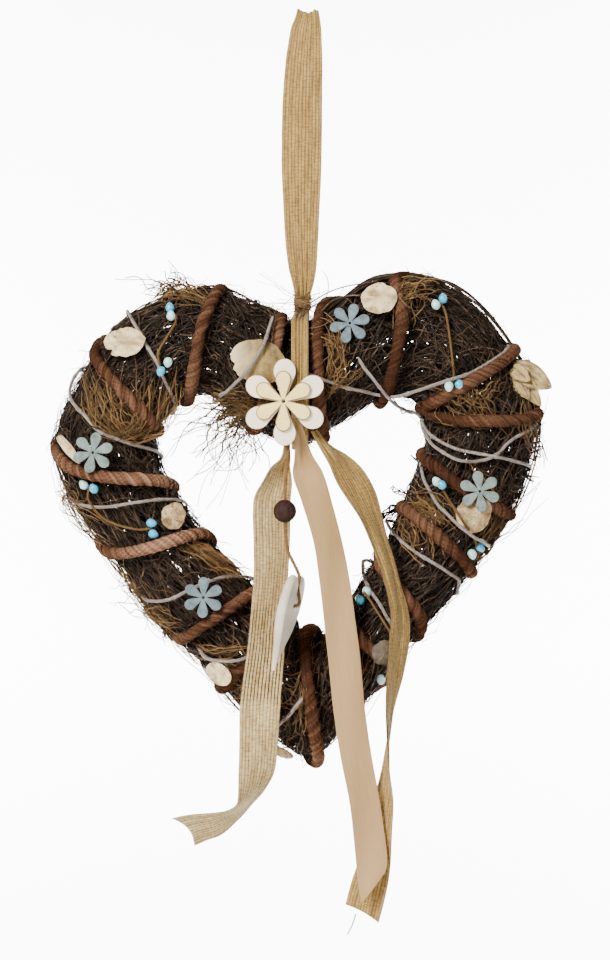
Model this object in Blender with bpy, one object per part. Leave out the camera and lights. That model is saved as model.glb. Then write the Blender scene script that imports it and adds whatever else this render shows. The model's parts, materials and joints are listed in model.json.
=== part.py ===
"""Heart-shaped door wreath of bundled vines, hung on a loop of jute ribbon.

Metres, +Z up; the wreath faces -Y and hangs plumb. The origin is where the hook bears, inside the
crown of the hanging ribbon.
"""
import bpy
import bmesh
import numpy as np
from math import acos, cos, pi, radians, sin
from mathutils import Matrix, Vector

MM = 0.001

# Overall sizes of the ring
WREATH_WIDTH = 300 * MM
FRONT_DEPTH = 30 * MM
BACK_DEPTH = 24 * MM
RING_LUMP = 1.0 * MM
# The loose outermost vines, which what is wound on the ring presses into
LOOSE_LAYER = 1.5 * MM
RING_STATIONS = 56
RING_SIDES = 14

# Clearances
REST_GAP = 1.0 * MM
TOUCH_GAP = 0.3 * MM
# How far off its own place a wound piece, and a flat one, looks for what it has to clear
CLIMB = 17 * MM
REACH = 22 * MM

# Windings
ROPE_DIAMETER = 8.0 * MM
TWIG_DIAMETER = 2.6 * MM
# How far the straight pieces of a winding may stray from its smooth line
ROPE_STRAY = 1.4 * MM
TWIG_STRAY = 0.8 * MM

# Hanging ribbon
JUTE_WIDTH = 25 * MM
JUTE_THICKNESS = 0.9 * MM
LOOP_LENGTH = 178 * MM
CROWN_FLAT = 6 * MM
TIE_TO_CLEFT = 13.6 * MM
TIE_HEIGHT = 13 * MM
TIE_WALL = 1.5 * MM
STRAP_WIDTH = 10.5 * MM

# Tails
SATIN_WIDTH = 20 * MM
SATIN_THICKNESS = 0.6 * MM
WIRE_DIAMETER = 0.9 * MM

# Pendant
TWINE_DIAMETER = 2.0 * MM
TWINE_STRAY = 0.15 * MM
BEAD_DIAMETER = 14 * MM
BEAD_BORE = 3.4 * MM
HEART_LENGTH = 60 * MM
HEART_WIDTH = 38 * MM
HEART_THICKNESS = 5 * MM
HEART_HOLE = 4.0 * MM
# The hole's height above the middle of the heart
HEART_HOLE_UP = 11.4 * MM
HEART_TURN = 72
HEART_LEAN = 14.7

# Flowers and sprigs
FLOWER_BACK_SPAN = 52 * MM
FLOWER_FRONT_SPAN = 36.6 * MM
FLOWER_THICKNESS = 2.4 * MM
SMALL_FLOWER_SPAN = 25 * MM
SMALL_FLOWER_THICKNESS = 2.2 * MM
STEM_DIAMETER = 2.6 * MM
BERRY_DIAMETER = 5.4 * MM

# The heart, counterclockwise from the cleft as seen from the front. Each station holds the outer
# edge and the inner edge of the bundle, in thousandths of the wreath's width from its middle.
HEART = [
    (6, 409, -10, 153),
    (-72, 448, -118, 203),
    (-190, 484, -188, 258),
    (-341, 432, -258, 223),
    (-453, 302, -283, 174),
    (-502, 153, -277, 116),
    (-440, 0, -229, 29),
    (-320, -161, -138, -79),
    (-184, -318, -43, -178),
    (-62, -444, 6, -227),
    (33, -506, 43, -236),
    (117, -405, 85, -203),
    (247, -248, 122, -136),
    (364, -107, 172, -52),
    (457, 50, 227, 54),
    (504, 227, 262, 165),
    (436, 372, 242, 236),
    (308, 490, 184, 254),
    (163, 498, 110, 211),
    (68, 442, 43, 165),
]
HEART_X = -6.2 * MM
HEART_Z = -(LOOP_LENGTH + TIE_TO_CLEFT) - HEART[0][1] / 1000 * WREATH_WIDTH

# Windings, as (place round the heart, degrees round the bundle). A place grows by 1 in one turn of
# the heart from the cleft. Degrees are 0 at the outer edge, 90 in front, 180 inside, 270 behind.
ROPE_ROUTE = [
    (0.026, 18), (0.027, 60), (0.031, 120), (0.037, 180), (0.062, 270),
    (0.091, 365), (0.104, 451), (0.124, 540), (0.152, 630),
    (0.180, 722), (0.186, 787), (0.189, 826), (0.193, 895), (0.224, 990),
    (0.252, 1088), (0.265, 1136), (0.271, 1178), (0.277, 1255), (0.297, 1350),
    (0.317, 1440), (0.3225, 1486), (0.325, 1534), (0.327, 1610), (0.351, 1710),
    (0.375, 1805), (0.378, 1882), (0.381, 1965), (0.396, 2070),
    (0.410, 2162), (0.412, 2232), (0.418, 2288), (0.432, 2345), (0.470, 2440),
    (0.503, 2525), (0.496, 2595), (0.485, 2629), (0.482, 2690), (0.530, 2790),
    (0.585, 2880), (0.580, 2937), (0.574, 2979), (0.575, 3045), (0.592, 3150),
    (0.605, 3255), (0.617, 3319), (0.630, 3371), (0.646, 3420), (0.650, 3510),
    (0.650, 3615), (0.660, 3669), (0.671, 3704), (0.688, 3765), (0.690, 3870),
    (0.689, 3980), (0.697, 4032), (0.708, 4061), (0.724, 4096), (0.737, 4145), (0.738, 4230),
    (0.737, 4335), (0.7415, 4394), (0.751, 4435), (0.767, 4490), (0.800, 4590),
    (0.880, 4690), (0.870, 4754), (0.863, 4792), (0.857, 4845), (0.868, 4890), (0.905, 4965),
    (0.957, 5055), (0.960, 5110), (0.957, 5148), (0.945, 5205), (0.948, 5250),
]
ROPE_SHORT_ROUTE = [
    (0.806, -105), (0.796, -45), (0.7915, 0), (0.7885, 50), (0.789, 90), (0.793, 130),
    (0.806, 178), (0.815, 235),
]
TWIG_ROUTES = {
    "white_twig_left": [
        (0.155, -60), (0.1535, 0), (0.147, 81), (0.143, 118), (0.147, 175), (0.180, 270),
        (0.209, 360), (0.218, 392), (0.2305, 443), (0.233, 477), (0.240, 545), (0.262, 630),
        (0.286, 735), (0.2925, 779), (0.292, 814), (0.292, 852), (0.298, 905), (0.322, 990),
        (0.3495, 1090), (0.3555, 1136), (0.3565, 1169), (0.3625, 1226), (0.365, 1265), (0.372, 1350),
        (0.383, 1450), (0.393, 1490), (0.398, 1520), (0.400, 1560), (0.405, 1620), (0.412, 1690),
    ],
    "white_twig_tip": [(0.436, -70), (0.448, 0), (0.456, 46), (0.468, 74), (0.476, 92)],
    "white_twig_cleft": [(0.055, -50), (0.047, 0), (0.041, 45), (0.044, 75), (0.055, 104),
                         (0.077, 143), (0.090, 190)],
    "white_twig_top": [(0.993, 82), (0.955, 104), (0.9145, 126), (0.870, 160), (0.8305, 160), (0.795, 126),
                       (0.786, 100), (0.781, 59), (0.782, 5), (0.785, -60)],
    "white_twig_corner": [(0.905, 96), (0.885, 122), (0.862, 152), (0.8305, 193), (0.792, 193), (0.768, 161),
                          (0.746, 138), (0.7285, 100), (0.7175, 64), (0.712, 0), (0.714, -60)],
    "white_twig_crossing": [(0.752, 215), (0.748, 178), (0.731, 133), (0.714, 97), (0.715, 66),
                            (0.722, 45), (0.729, 0), (0.731, -50)],
    "white_twig_right": [
        (0.583, -60), (0.587, 10), (0.5955, 79), (0.6005, 110), (0.6135, 148), (0.6285, 185), (0.632, 270),
        (0.634, 370), (0.6415, 400), (0.650, 449), (0.6595, 496), (0.670, 545), (0.672, 630),
        (0.668, 735), (0.6755, 792), (0.6865, 822), (0.7025, 850), (0.717, 893), (0.717, 950),
    ],
}
# Extra lift of a stretch that swings free of the bundle: twig, first and last place, height
TWIG_SWAGS = {
    "white_twig_top": (0.80, 0.87, 3 * MM),
    "white_twig_corner": (0.795, 0.885, 10 * MM),
}

# Ribbon loop: drop below the hook, sideways offset, share of the flat width, half the gap, all in mm
LOOP_ROWS = [
    (1.6, 0.6, 0.56, 4.3),
    (5.0, 0.3, 0.63, 5.3),
    (11.0, -0.6, 0.76, 6.2),
    (20.0, -1.2, 0.84, 6.6),
    (32.0, -1.9, 0.92, 6.6),
    (54.0, -2.8, 0.98, 6.3),
    (78.0, -3.2, 1.00, 5.8),
    (100.0, -3.4, 0.98, 5.2),
    (121.0, -3.4, 0.88, 4.4),
    (141.0, -3.3, 0.70, 3.2),
    (157.0, -2.8, 0.50, 1.9),
    (169.0, -2.3, 0.37, 0.8),
    (178.0, -2.6, 0.36, 0.7),
    (186.0, -3.2, 0.38, 0.9),
]
# The drop of the row in the middle of the tie, which LOOP_LENGTH replaces
TIED_ROW = 178.0
# The strap lies on the ring from just in front of its outer edge to just behind it
STRAP_FROM = 32
STRAP_ROWS = 17

# Ribbon tails from the knot under the large flower, in mm and degrees: across, down, ahead of the
# ring's front, share of the flat width, lean of the rib in the picture, turn away from the viewer
KNOT_ACROSS = 4.9 * MM
KNOT_ABOVE = 5.7 * MM
JUTE_LEFT_RIBS = [
    (-7, 6, 5.5, 0.25, 0, 52),
    (-8, -6, 6.5, 0.28, 0, 55),
    (-9, -13, 7.5, 0.45, 0, 57),
    (-12, -19, 8, 0.80, -3, 55),
    (-14, -28, 8.5, 0.95, 0, 42),
    (-17, -40, 9.5, 1.00, 0, 27),
    (-17, -64, 11, 1.00, 0, 29),
    (-17.5, -85, 12, 1.00, 0, 33),
    (-19, -106, 13, 1.00, 0, 29),
    (-21, -132, 14, 1.00, 0, 22),
    (-24, -161, 14, 1.00, 0, 10),
    (-25, -185, 14, 1.00, 0, 22),
    (-26, -203, 14, 1.00, 0, 29),
    (-29, -215, 14, 1.00, -4, 49),
    (-34, -224, 14, 1.00, -20, 68),
    (-41, -230.5, 14, 1.00, -62, 66),
    (-50, -235.5, 14, 1.00, -76, 52),
    (-61, -238, 14, 1.00, -67, 42),
    (-71, -241, 14, 1.00, -53, 28),
]
SATIN_RIBS = [
    (-3, 10, 8.5, 0.50, 0, 50),
    (0, -1, 9, 0.60, 20, 50),
    (2, -13, 10, 0.75, 10, 40),
    (5, -24, 11, 0.98, 4, 19),
    (10, -39, 12, 1.00, 0, 24),
    (17, -64, 13, 1.00, 0, 28),
    (21, -88, 14, 1.00, 0, 20),
    (24, -112, 15, 1.00, 0, 17),
    (27, -136, 15, 1.00, 1, 14),
    (30, -166, 15, 1.00, 0, 16),
    (34, -194, 15, 1.00, 2, 17),
    (39, -221, 15, 1.00, 5, 22),
    (42, -244, 15, 1.00, 12, 18),
    (43, -265, 15, 1.03, 30, 6),
    (41, -280, 15, 1.18, 61, 0),
]
JUTE_RIGHT_RIBS = [
    (9, 3, 3, 0.35, 0, 60),
    (15.5, -6, 4, 0.50, 12, 54),
    (23, -14, 5, 0.80, 26, 50),
    (30, -24, 7, 0.95, 26, 40),
    (37, -36, 9, 0.95, 14, 40),
    (43, -49, 11, 0.85, 11, 51),
    (48, -63, 14, 0.75, 14, 56),
    (53, -77, 17, 0.70, 11, 55),
    (57, -92, 18, 0.70, 8, 55),
    (60.5, -108, 18, 0.75, 4, 51),
    (60, -124, 21, 0.80, 0, 50),
    (57.5, -145, 20, 0.75, 0, 57),
    (55, -164, 17, 0.70, 0, 72),
    (53.5, -186, 13, 0.65, 0, 90),
    (52.5, -204, 9, 0.70, 0, 104),
    (51, -222, 6, 0.85, 0, 121),
    (48, -240, 4, 0.95, 0, 130),
    (45, -262, 2, 1.00, -4, 142),
    (42, -276, 1, 1.00, -14, 152),
    (38, -292, 0, 1.00, -26, 155),
]
WIRE_ROUTE = [(34.2, -292.5, -1.5), (32.4, -298, -1.5), (30.8, -301.5, -1.2), (29, -305, -0.8)]

# Pendant, from the same knot: across, down, ahead of the ring's front, in mm
TWINE_ROUTE = [
    (-6.6, 3.5, 12), (-7.0, -3, 12.5), (-7.6, -12, 13.6), (-8.3, -22, 15.6), (-8.9, -31, 18.2),
    (-9.1, -38, 19.3), (-9.1, -46, 19.3), (-9.1, -54, 19.3), (-8.4, -62, 19.8), (-7.2, -70, 20.6),
]
BEAD_PLACE = (-9.1, -45.7, 19.3)
PENDANT_HEART_PLACE = (-9.0, -113.5, 22)

# Flat trimmings: place round the heart, degrees round the bundle, spin, how far it faces the viewer
SMALL_FLOWERS = [
    ("small_flower_1", 0.2500, 79, 12, 0.6, "felt_mint"),
    ("small_flower_2", 0.3645, 93, -6, 0.6, "felt_blue"),
    ("small_flower_3", 0.9205, 63, 6, 0.6, "felt_blue"),
    ("small_flower_4", 0.7030, 79, 14, 0.6, "felt_mint"),
]
LARGE_FLOWER = (0.011, 111, -3, 0.93)

# Slices: name, place, degrees, spin, facing, length, width, thickness (mm), unevenness, material
SLICES_UNDER = [
    ("bark_slice_olive", 0.0425, 88, -14, 0.5, 37, 28, 4.0, 0.06, "bark_olive"),
    ("bark_slice_pale", 0.3075, 130, 62, 0.6, 19, 16, 3.0, 0.09, "bark_cream"),
    ("bark_slice_tan", 0.6865, 74, 60, 0.5, 26, 22, 3.2, 0.07, "bark_tan"),
    ("wood_slice_ringed", 0.4040, 52, -38, 0.5, 18, 13, 3.0, 0.03, "bark_tan"),
]
SLICES_OVER = [
    ("bark_slice_cream", 0.1615, 58, 10, 0.6, 28, 19, 3.0, 0.08, "bark_cream"),
    ("bark_slice_ivory", 0.8930, 46, 8, 0.6, 23, 20, 3.2, 0.05, "bark_cream"),
    ("bark_crescent", 0.2530, 43, 80, 0.1, 17, 9, 3.0, 0.08, "bark_olive"),
    ("bark_slice_brown", 0.5815, 67, 40, 0.6, 17, 16, 4.0, 0.08, "bark_brown"),
    ("bark_strip", 0.4665, 12, -16, 0.3, 22, 9, 3.0, 0.08, "bark_tan"),
]
POD_SHELL = ("pod_shell", 0.7690, 20, -35, 0.55, 27, 24, 5.0, "bark_cream")

# Sprigs: stem route, then the berries as place, degrees and colour
SPRIGS = [
    ([(0.1225, 66), (0.123, 76), (0.1285, 88), (0.1345, 96)],
     [(0.1250, 47, "blue"), (0.1275, 59, "mint"), (0.1325, 108, "mint"), (0.1425, 106, "blue")]),
    ([(0.8385, 61), (0.832, 70), (0.826, 77), (0.810, 93)],
     [(0.8465, 44, "blue"), (0.8490, 57, "mint"), (0.7960, 104, "mint"), (0.8080, 107, "blue")]),
    ([(0.2865, 56), (0.293, 56), (0.3005, 58), (0.3080, 71), (0.3110, 82)],
     [(0.2790, 50, "mint"), (0.2835, 66, "blue"), (0.3150, 92, "blue"), (0.3085, 99, "blue")]),
    ([(0.7010, 112), (0.695, 103), (0.686, 92), (0.6745, 66), (0.6690, 52)],
     [(0.7110, 125, "mint"), (0.7060, 119, "blue"), (0.6660, 37, "blue"), (0.6620, 49, "mint")]),
    ([(0.6010, 122), (0.598, 108), (0.5945, 88), (0.5885, 58), (0.5800, 38)],
     [(0.5925, 133, "blue"), (0.6045, 137, "mint"), (0.5730, 28, "mint")]),
]

# Colour, roughness and metallic value of each material
FINISHES = {
    "vine": ((0.030, 0.016, 0.009), 0.85, 0.0),
    "paper_rope": ((0.230, 0.095, 0.042), 0.70, 0.0),
    "white_twig": ((0.480, 0.420, 0.370), 0.75, 0.0),
    "jute": ((0.440, 0.300, 0.165), 0.90, 0.0),
    "satin": ((0.500, 0.370, 0.260), 0.45, 0.0),
    "fibre_tie": ((0.360, 0.240, 0.120), 0.90, 0.0),
    "steel_wire": ((0.450, 0.450, 0.450), 0.35, 1.0),
    "twine": ((0.360, 0.220, 0.100), 0.90, 0.0),
    "bead_wood": ((0.070, 0.030, 0.018), 0.50, 0.0),
    "heart_wood": ((0.820, 0.800, 0.770), 0.60, 0.0),
    "flower_white": ((0.850, 0.830, 0.760), 0.65, 0.0),
    "flower_cream": ((0.840, 0.750, 0.540), 0.65, 0.0),
    "felt_mint": ((0.420, 0.520, 0.520), 0.85, 0.0),
    "felt_blue": ((0.330, 0.430, 0.520), 0.85, 0.0),
    "bark_cream": ((0.640, 0.560, 0.420), 0.80, 0.0),
    "bark_olive": ((0.430, 0.360, 0.220), 0.75, 0.0),
    "bark_tan": ((0.560, 0.400, 0.240), 0.80, 0.0),
    "bark_brown": ((0.300, 0.220, 0.140), 0.75, 0.0),
    "stem": ((0.220, 0.130, 0.050), 0.80, 0.0),
    "berry_blue": ((0.060, 0.420, 0.620), 0.30, 0.0),
    "berry_mint": ((0.420, 0.680, 0.620), 0.30, 0.0),
}


def clear_scene():
    for obj in list(bpy.data.objects):
        bpy.data.objects.remove(obj, do_unlink=True)


def material(name):
    found = bpy.data.materials.get(name)
    if found:
        return found
    colour, rough, metal = FINISHES[name]
    made = bpy.data.materials.new(name)
    made.use_nodes = True
    shader = made.node_tree.nodes["Principled BSDF"]
    shader.inputs["Base Color"].default_value = (*colour, 1.0)
    shader.inputs["Roughness"].default_value = rough
    shader.inputs["Metallic"].default_value = metal
    return made


# The bundle's surface

def between(a, b, c, d, f):
    """The smooth curve from b to c, a share f of the way, with a and d beyond its ends."""
    return 0.5 * (2 * b + (c - a) * f + (2 * a - 5 * b + 4 * c - d) * f * f + (3 * b - a - 3 * c + d) * f ** 3)


def heart_edges(place):
    """Outer and inner edge of the bundle at a place round the heart."""
    count = len(HEART)
    along = (place % 1.0) * count
    first = int(along)
    rows = [np.array(HEART[(first + k) % count], float) for k in (-1, 0, 1, 2)]
    x0, z0, x1, z1 = between(*rows, along - first) / 1000 * WREATH_WIDTH
    return Vector((HEART_X + x0, 0, HEART_Z + z0)), Vector((HEART_X + x1, 0, HEART_Z + z1))


def skin(place, angle, lift=0.0):
    """Point on the bundle's section at this place, or lifted off it within the section."""
    outer, inner = heart_edges(place)
    across = (outer - inner) / 2
    depth = FRONT_DEPTH if sin(radians(angle)) >= 0 else BACK_DEPTH
    c = cos(radians(angle))
    s = sin(radians(angle))
    normal = (across.normalized() * (c / across.length) + Vector((0, -s / depth, 0))).normalized()
    lump = RING_LUMP * sin(2 * pi * 11 * place + 2 * radians(angle)) * sin(2 * pi * 4 * place)
    return (outer + inner) / 2 + across * c + Vector((0, -s * depth, 0)) + normal * (lump + lift)


def bundle(place, angle):
    """Point on the bundle and the direction square out of it."""
    ahead = skin(place + 0.002, angle) - skin(place - 0.002, angle)
    round_it = skin(place, angle + 2) - skin(place, angle - 2)
    return skin(place, angle), ahead.cross(round_it).normalized()


def knot():
    """Where the tails and the pendant start, level with the ring's front."""
    inner = heart_edges(0.0)[1]
    return inner + Vector((KNOT_ACROSS, -FRONT_DEPTH, KNOT_ABOVE))


def from_knot(across, down, ahead):
    return knot() + Vector((across * MM, -ahead * MM, down * MM))


# What already lies on the ring, as balls (x, y, z, radius), so that later pieces rest on it

class Bed:
    def __init__(self):
        self.balls = np.zeros((0, 4))
        ring = [skin(i / 400, j * 6) for i in range(400) for j in range(60)]
        self.ring = np.array([tuple(p) for p in ring])

    def add(self, points, radius):
        rows = np.array([(*p, radius) for p in points])
        self.balls = np.vstack([self.balls, rows])

    def lifts(self, feet, normals, radius):
        """How far each foot point has to rise for a round piece to clear the balls."""
        out = np.full(len(feet), radius + REST_GAP)
        for i, (foot, normal) in enumerate(zip(feet, normals)):
            off = self.balls[:, :3] - np.array(foot)
            up = off @ np.array(normal)
            reach = self.balls[:, 3] + radius + REST_GAP
            room = reach ** 2 - (np.sum(off * off, axis=1) - up * up)
            near = (room > 0) & (abs(up) < CLIMB)
            if near.any():
                out[i] = max(out[i], float((up[near] + np.sqrt(room[near])).max()))
        return out

    def seat(self, foot, axes, half_x, half_y):
        """How far a flat piece has to stand off along its own normal."""
        x, y, n = (np.array(a) for a in axes)
        rise = 0.0
        for rows, radius in ((self.ring, 0.0), (self.balls[:, :3], self.balls[:, 3])):
            off = rows - np.array(foot)
            up = off @ n
            inside = ((off @ x) / (half_x + radius)) ** 2 + ((off @ y) / (half_y + radius)) ** 2 < 1
            near = inside & (abs(up) < REACH)
            if near.any():
                rise = max(rise, float((up + radius)[near].max()) + REST_GAP)
        return rise


# Curves

def smooth_route(stations, per_leg):
    """A smooth line through rows of numbers, with per_leg points for each leg."""
    rows = [np.array(s, float) for s in stations]
    rows = [2 * rows[0] - rows[1]] + rows + [2 * rows[-1] - rows[-2]]
    line = []
    for a, b, c, d in zip(rows, rows[1:], rows[2:], rows[3:]):
        line += [between(a, b, c, d, k / per_leg) for k in range(per_leg)]
    return line + [rows[-2]]


def thinned(points, stray):
    """The fewest of these points whose straight legs stay this close to the line."""
    line = np.array([tuple(p) for p in points])
    keep = {0, len(line) - 1}
    spans = [(0, len(line) - 1)]
    while spans:
        first, last = spans.pop()
        if last - first < 2:
            continue
        leg = line[last] - line[first]
        off = line[first + 1:last] - line[first]
        along = np.clip(off @ leg / max(leg @ leg, 1e-12), 0, 1)
        away = np.linalg.norm(off - along[:, None] * leg, axis=1)
        worst = int(away.argmax())
        if away[worst] > stray:
            middle = first + 1 + worst
            keep.add(middle)
            spans += [(first, middle), (middle, last)]
    return [Vector(line[k]) for k in sorted(keep)]


def evenly(points, step):
    """The same line with points an even step apart."""
    line = np.array([tuple(p) for p in points])
    legs = np.linalg.norm(np.diff(line, axis=0), axis=1)
    run = np.concatenate([[0], np.cumsum(legs)])
    count = max(2, int(round(run[-1] / step)) + 1)
    marks = np.linspace(0, run[-1], count)
    return [Vector([float(np.interp(m, run, line[:, k])) for k in range(3)]) for m in marks]


def eased(lifts, points, flat, slope):
    """Spread each rise to both sides, so that a round piece climbs over what it crosses."""
    line = np.array([tuple(p) for p in points])
    run = np.concatenate([[0], np.cumsum(np.linalg.norm(np.diff(line, axis=0), axis=1))])
    apart = np.abs(run[:, None] - run[None, :])
    spread = (lifts[None, :] - slope * np.maximum(apart - flat, 0)).max(axis=1)
    weight = (apart < flat).astype(float)
    return (weight @ spread) / weight.sum(axis=1)


def wound_line(route, radius, stray, bed, swag=None):
    """The straight legs of a round piece wound on the ring, which rests on what lies there."""
    fine = smooth_route(route, 14)
    pairs = [bundle(place, angle) for place, angle in fine]
    feet = [p for p, _ in pairs]
    normals = [n for _, n in pairs]
    lifts = bed.lifts(feet, normals, radius + stray / 2)
    if swag:
        first, last, height = swag
        for i, (place, _) in enumerate(fine):
            share = (place - first) / (last - first)
            if 0 < share < 1:
                lifts[i] += height * sin(pi * share) ** 2
    lifts = eased(lifts, feet, 1.2 * radius, 0.7)
    line = [foot + normal * float(lift) for foot, normal, lift in zip(feet, normals, lifts)]
    bed.add(evenly(line, radius), radius)
    return thinned(line, stray)


def tube(name, points, diameter, finish, sides=6):
    """A round cord: a curve with a bevel and filled caps."""
    curve = bpy.data.curves.new(name, "CURVE")
    curve.dimensions = "3D"
    curve.bevel_depth = diameter / 2
    curve.bevel_resolution = (sides - 4) // 2
    curve.use_fill_caps = True
    spline = curve.splines.new("POLY")
    spline.points.add(len(points) - 1)
    for slot, p in zip(spline.points, points):
        slot.co = (*p, 1.0)
    curve.materials.append(material(finish))
    obj = bpy.data.objects.new(name, curve)
    bpy.context.collection.objects.link(obj)
    return obj


# Meshes

def solid(name, verts, faces, finish, place=None, sharp=35):
    bm = bmesh.new()
    made = [bm.verts.new(v) for v in verts]
    for face in faces:
        bm.faces.new([made[i] for i in face])
    bmesh.ops.recalc_face_normals(bm, faces=bm.faces)
    mesh = bpy.data.meshes.new(name)
    bm.to_mesh(mesh)
    bm.free()
    mesh.shade_smooth()
    mesh.set_sharp_from_angle(angle=radians(sharp))
    mesh.materials.append(material(finish))
    obj = bpy.data.objects.new(name, mesh)
    obj.matrix_world = place or Matrix.Identity(4)
    bpy.context.collection.objects.link(obj)
    return obj


def grid_faces(rows, columns, rows_close=False, columns_close=False):
    """Quads over a grid of points stored row by row."""
    faces = []
    for i in range(rows if rows_close else rows - 1):
        for j in range(columns if columns_close else columns - 1):
            a = i * columns + j
            b = i * columns + (j + 1) % columns
            c = ((i + 1) % rows) * columns + (j + 1) % columns
            d = ((i + 1) % rows) * columns + j
            faces.append((a, b, c, d))
    return faces


def plate(name, outline, thickness, finish, place, crown=0.0):
    """A flat piece cut to an outline; a crown raises the middle of its face."""
    count = len(outline)
    verts = [(x, y, 0.0) for x, y in outline] + [(x, y, thickness) for x, y in outline]
    faces = [(i, (i + 1) % count, count + (i + 1) % count, count + i) for i in range(count)]
    faces.append(tuple(range(count)))
    if crown:
        verts.append((0.0, 0.0, thickness + crown))
        faces += [(count + i, count + (i + 1) % count, 2 * count) for i in range(count)]
    else:
        faces.append(tuple(range(count, 2 * count)))
    return solid(name, verts, faces, finish, place)


def flat_frame(place, angle, spin, facing):
    """A flat piece's foot and axes on the ring: x across, y up, n out of the bundle."""
    foot, normal = bundle(place, angle)
    n = (normal * (1 - facing) + Vector((0, -1, 0)) * facing).normalized()
    up = Vector((0, 0, 1))
    y = (up - n * up.dot(n)).normalized()
    x = y.cross(n)
    turn = Matrix.Rotation(radians(spin), 3, n)
    return foot, turn @ x, turn @ y, n


def frame_matrix(origin, x, y, n):
    return Matrix((
        (x.x, y.x, n.x, origin.x),
        (x.y, y.y, n.y, origin.y),
        (x.z, y.z, n.z, origin.z),
        (0, 0, 0, 1),
    ))


def seated(bed, place, angle, spin, facing, length, width, thickness):
    """Lay a flat piece of this size on the ring and remember it in the bed."""
    foot, x, y, n = flat_frame(place, angle, spin, facing)
    rise = bed.seat(foot, (x, y, n), length / 2, width / 2)
    origin = foot + n * rise
    cover = []
    step = 2.2 * MM
    across = int(length / 2 / step) + 1
    down = int(width / 2 / step) + 1
    for i in range(-across, across + 1):
        for j in range(-down, down + 1):
            u = i * step
            v = j * step
            if (2 * u / length) ** 2 + (2 * v / width) ** 2 <= 1:
                cover.append(origin + x * u + y * v + n * thickness / 2)
    bed.add(cover, max(thickness / 2, 1.4 * MM))
    return frame_matrix(origin, x, y, n)


def strip_faces(rows, columns):
    """Faces of a thin strip whose rows hold its front points, then its back points.

    Both sides are split along the same diagonals, so that a twisted strip never cuts itself.
    """
    faces = []
    span = 2 * columns
    for i in range(rows - 1):
        for side in (0, columns):
            for j in range(columns - 1):
                a = i * span + side + j
                faces += [(a, a + 1, a + span + 1), (a, a + span + 1, a + span)]
        for edge in (0, columns - 1):
            a = i * span + edge
            faces.append((a, a + columns, a + span + columns, a + span))
    for a in (0, (rows - 1) * span):
        faces += [(a + j, a + j + 1, a + columns + j + 1, a + columns + j) for j in range(columns - 1)]
    return faces


# Ring, ropes and twigs

def vine_ring():
    rows = [[skin(i / RING_STATIONS, j * 360 / RING_SIDES, -LOOSE_LAYER) for j in range(RING_SIDES)]
            for i in range(RING_STATIONS)]
    verts = [p for row in rows for p in row]
    faces = grid_faces(RING_STATIONS, RING_SIDES, True, True)
    return solid("vine_ring", verts, faces, "vine", sharp=60)


def ropes(bed):
    for name, route in (("paper_rope", ROPE_ROUTE), ("paper_rope_short", ROPE_SHORT_ROUTE)):
        legs = wound_line(route, ROPE_DIAMETER / 2, ROPE_STRAY, bed)
        tube(name, legs, ROPE_DIAMETER, "paper_rope")


def twigs(bed):
    for name, route in TWIG_ROUTES.items():
        legs = wound_line(route, TWIG_DIAMETER / 2, TWIG_STRAY, bed, TWIG_SWAGS.get(name))
        tube(name, legs, TWIG_DIAMETER, "white_twig", sides=4)


# Hanging ribbon

def loop_rows():
    """Rows of the closed band: middle of its inner face, outward direction and width."""
    half_flat = CROWN_FLAT / 2
    crown_x = LOOP_ROWS[0][1] * MM
    crown_width = LOOP_ROWS[0][2] * JUTE_WIDTH * 0.94
    sag = LOOP_LENGTH / (TIED_ROW * MM)
    front = [(Vector((crown_x, -half_flat, 0)), crown_width)]
    for drop, across, share, half_gap in LOOP_ROWS:
        where = Vector((across * MM, -half_gap * MM, -drop * MM * sag))
        front.append((where, share * JUTE_WIDTH))
    return front


def strap_rows(bed):
    """The turn of the same band round the ring at the cleft, clear of the rope."""
    side = STRAP_WIDTH / 2
    step = (360 - 2 * STRAP_FROM) / (STRAP_ROWS - 1)
    fine = 4
    needs = []
    for k in range(-fine, (STRAP_ROWS - 1) * fine + fine + 1):
        foot, normal = bundle(0.0, STRAP_FROM + k * step / fine)
        feet = [foot + Vector((j * side / 2, 0, 0)) for j in range(-2, 3)]
        need = float(bed.lifts(feet, [normal] * len(feet), 0.0).max())
        around = bed.ring - np.array(foot)
        near = (np.abs(around[:, 0]) < side) & (np.linalg.norm(around, axis=1) < REACH / 2)
        if near.any():
            need = max(need, float((around[near] @ np.array(normal)).max()) + REST_GAP)
        needs.append(need)
    rows = []
    for row in range(STRAP_ROWS):
        foot, normal = bundle(0.0, STRAP_FROM + row * step)
        rows.append((foot + normal * max(needs[row * fine:(row + 2) * fine + 1]), STRAP_WIDTH))
    return rows


def hanging_ribbon(bed):
    front = loop_rows()
    back = [(Vector((p.x, -p.y, p.z)), w) for p, w in reversed(front)]
    rows = front + strap_rows(bed) + back
    count = len(rows)
    # uneven columns keep the hook's bearing point off a facet's edge
    columns = (-0.5, 0.2, 0.5)
    verts = []
    cover = []
    for i, (middle, width) in enumerate(rows):
        before = rows[i - 1][0]
        after = rows[(i + 1) % count][0]
        run = after - before
        out = Vector((0, run.z, -run.y)).normalized()
        inner = [middle + Vector((u * width, 0, 0)) for u in columns]
        outer = [p + out * JUTE_THICKNESS for p in reversed(inner)]
        verts += inner + outer
        cover += [p + out * JUTE_THICKNESS / 2 for p in inner]
    bed.add(cover, JUTE_THICKNESS)
    faces = grid_faces(count, 2 * len(columns), True, True)
    return solid("hanging_ribbon", verts, faces, "jute")


def squared(share):
    """Pushes a circle's cosine or sine outwards, which gives a square with round corners."""
    return abs(share) ** 0.55 * (1 if share > 0 else -1)


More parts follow.
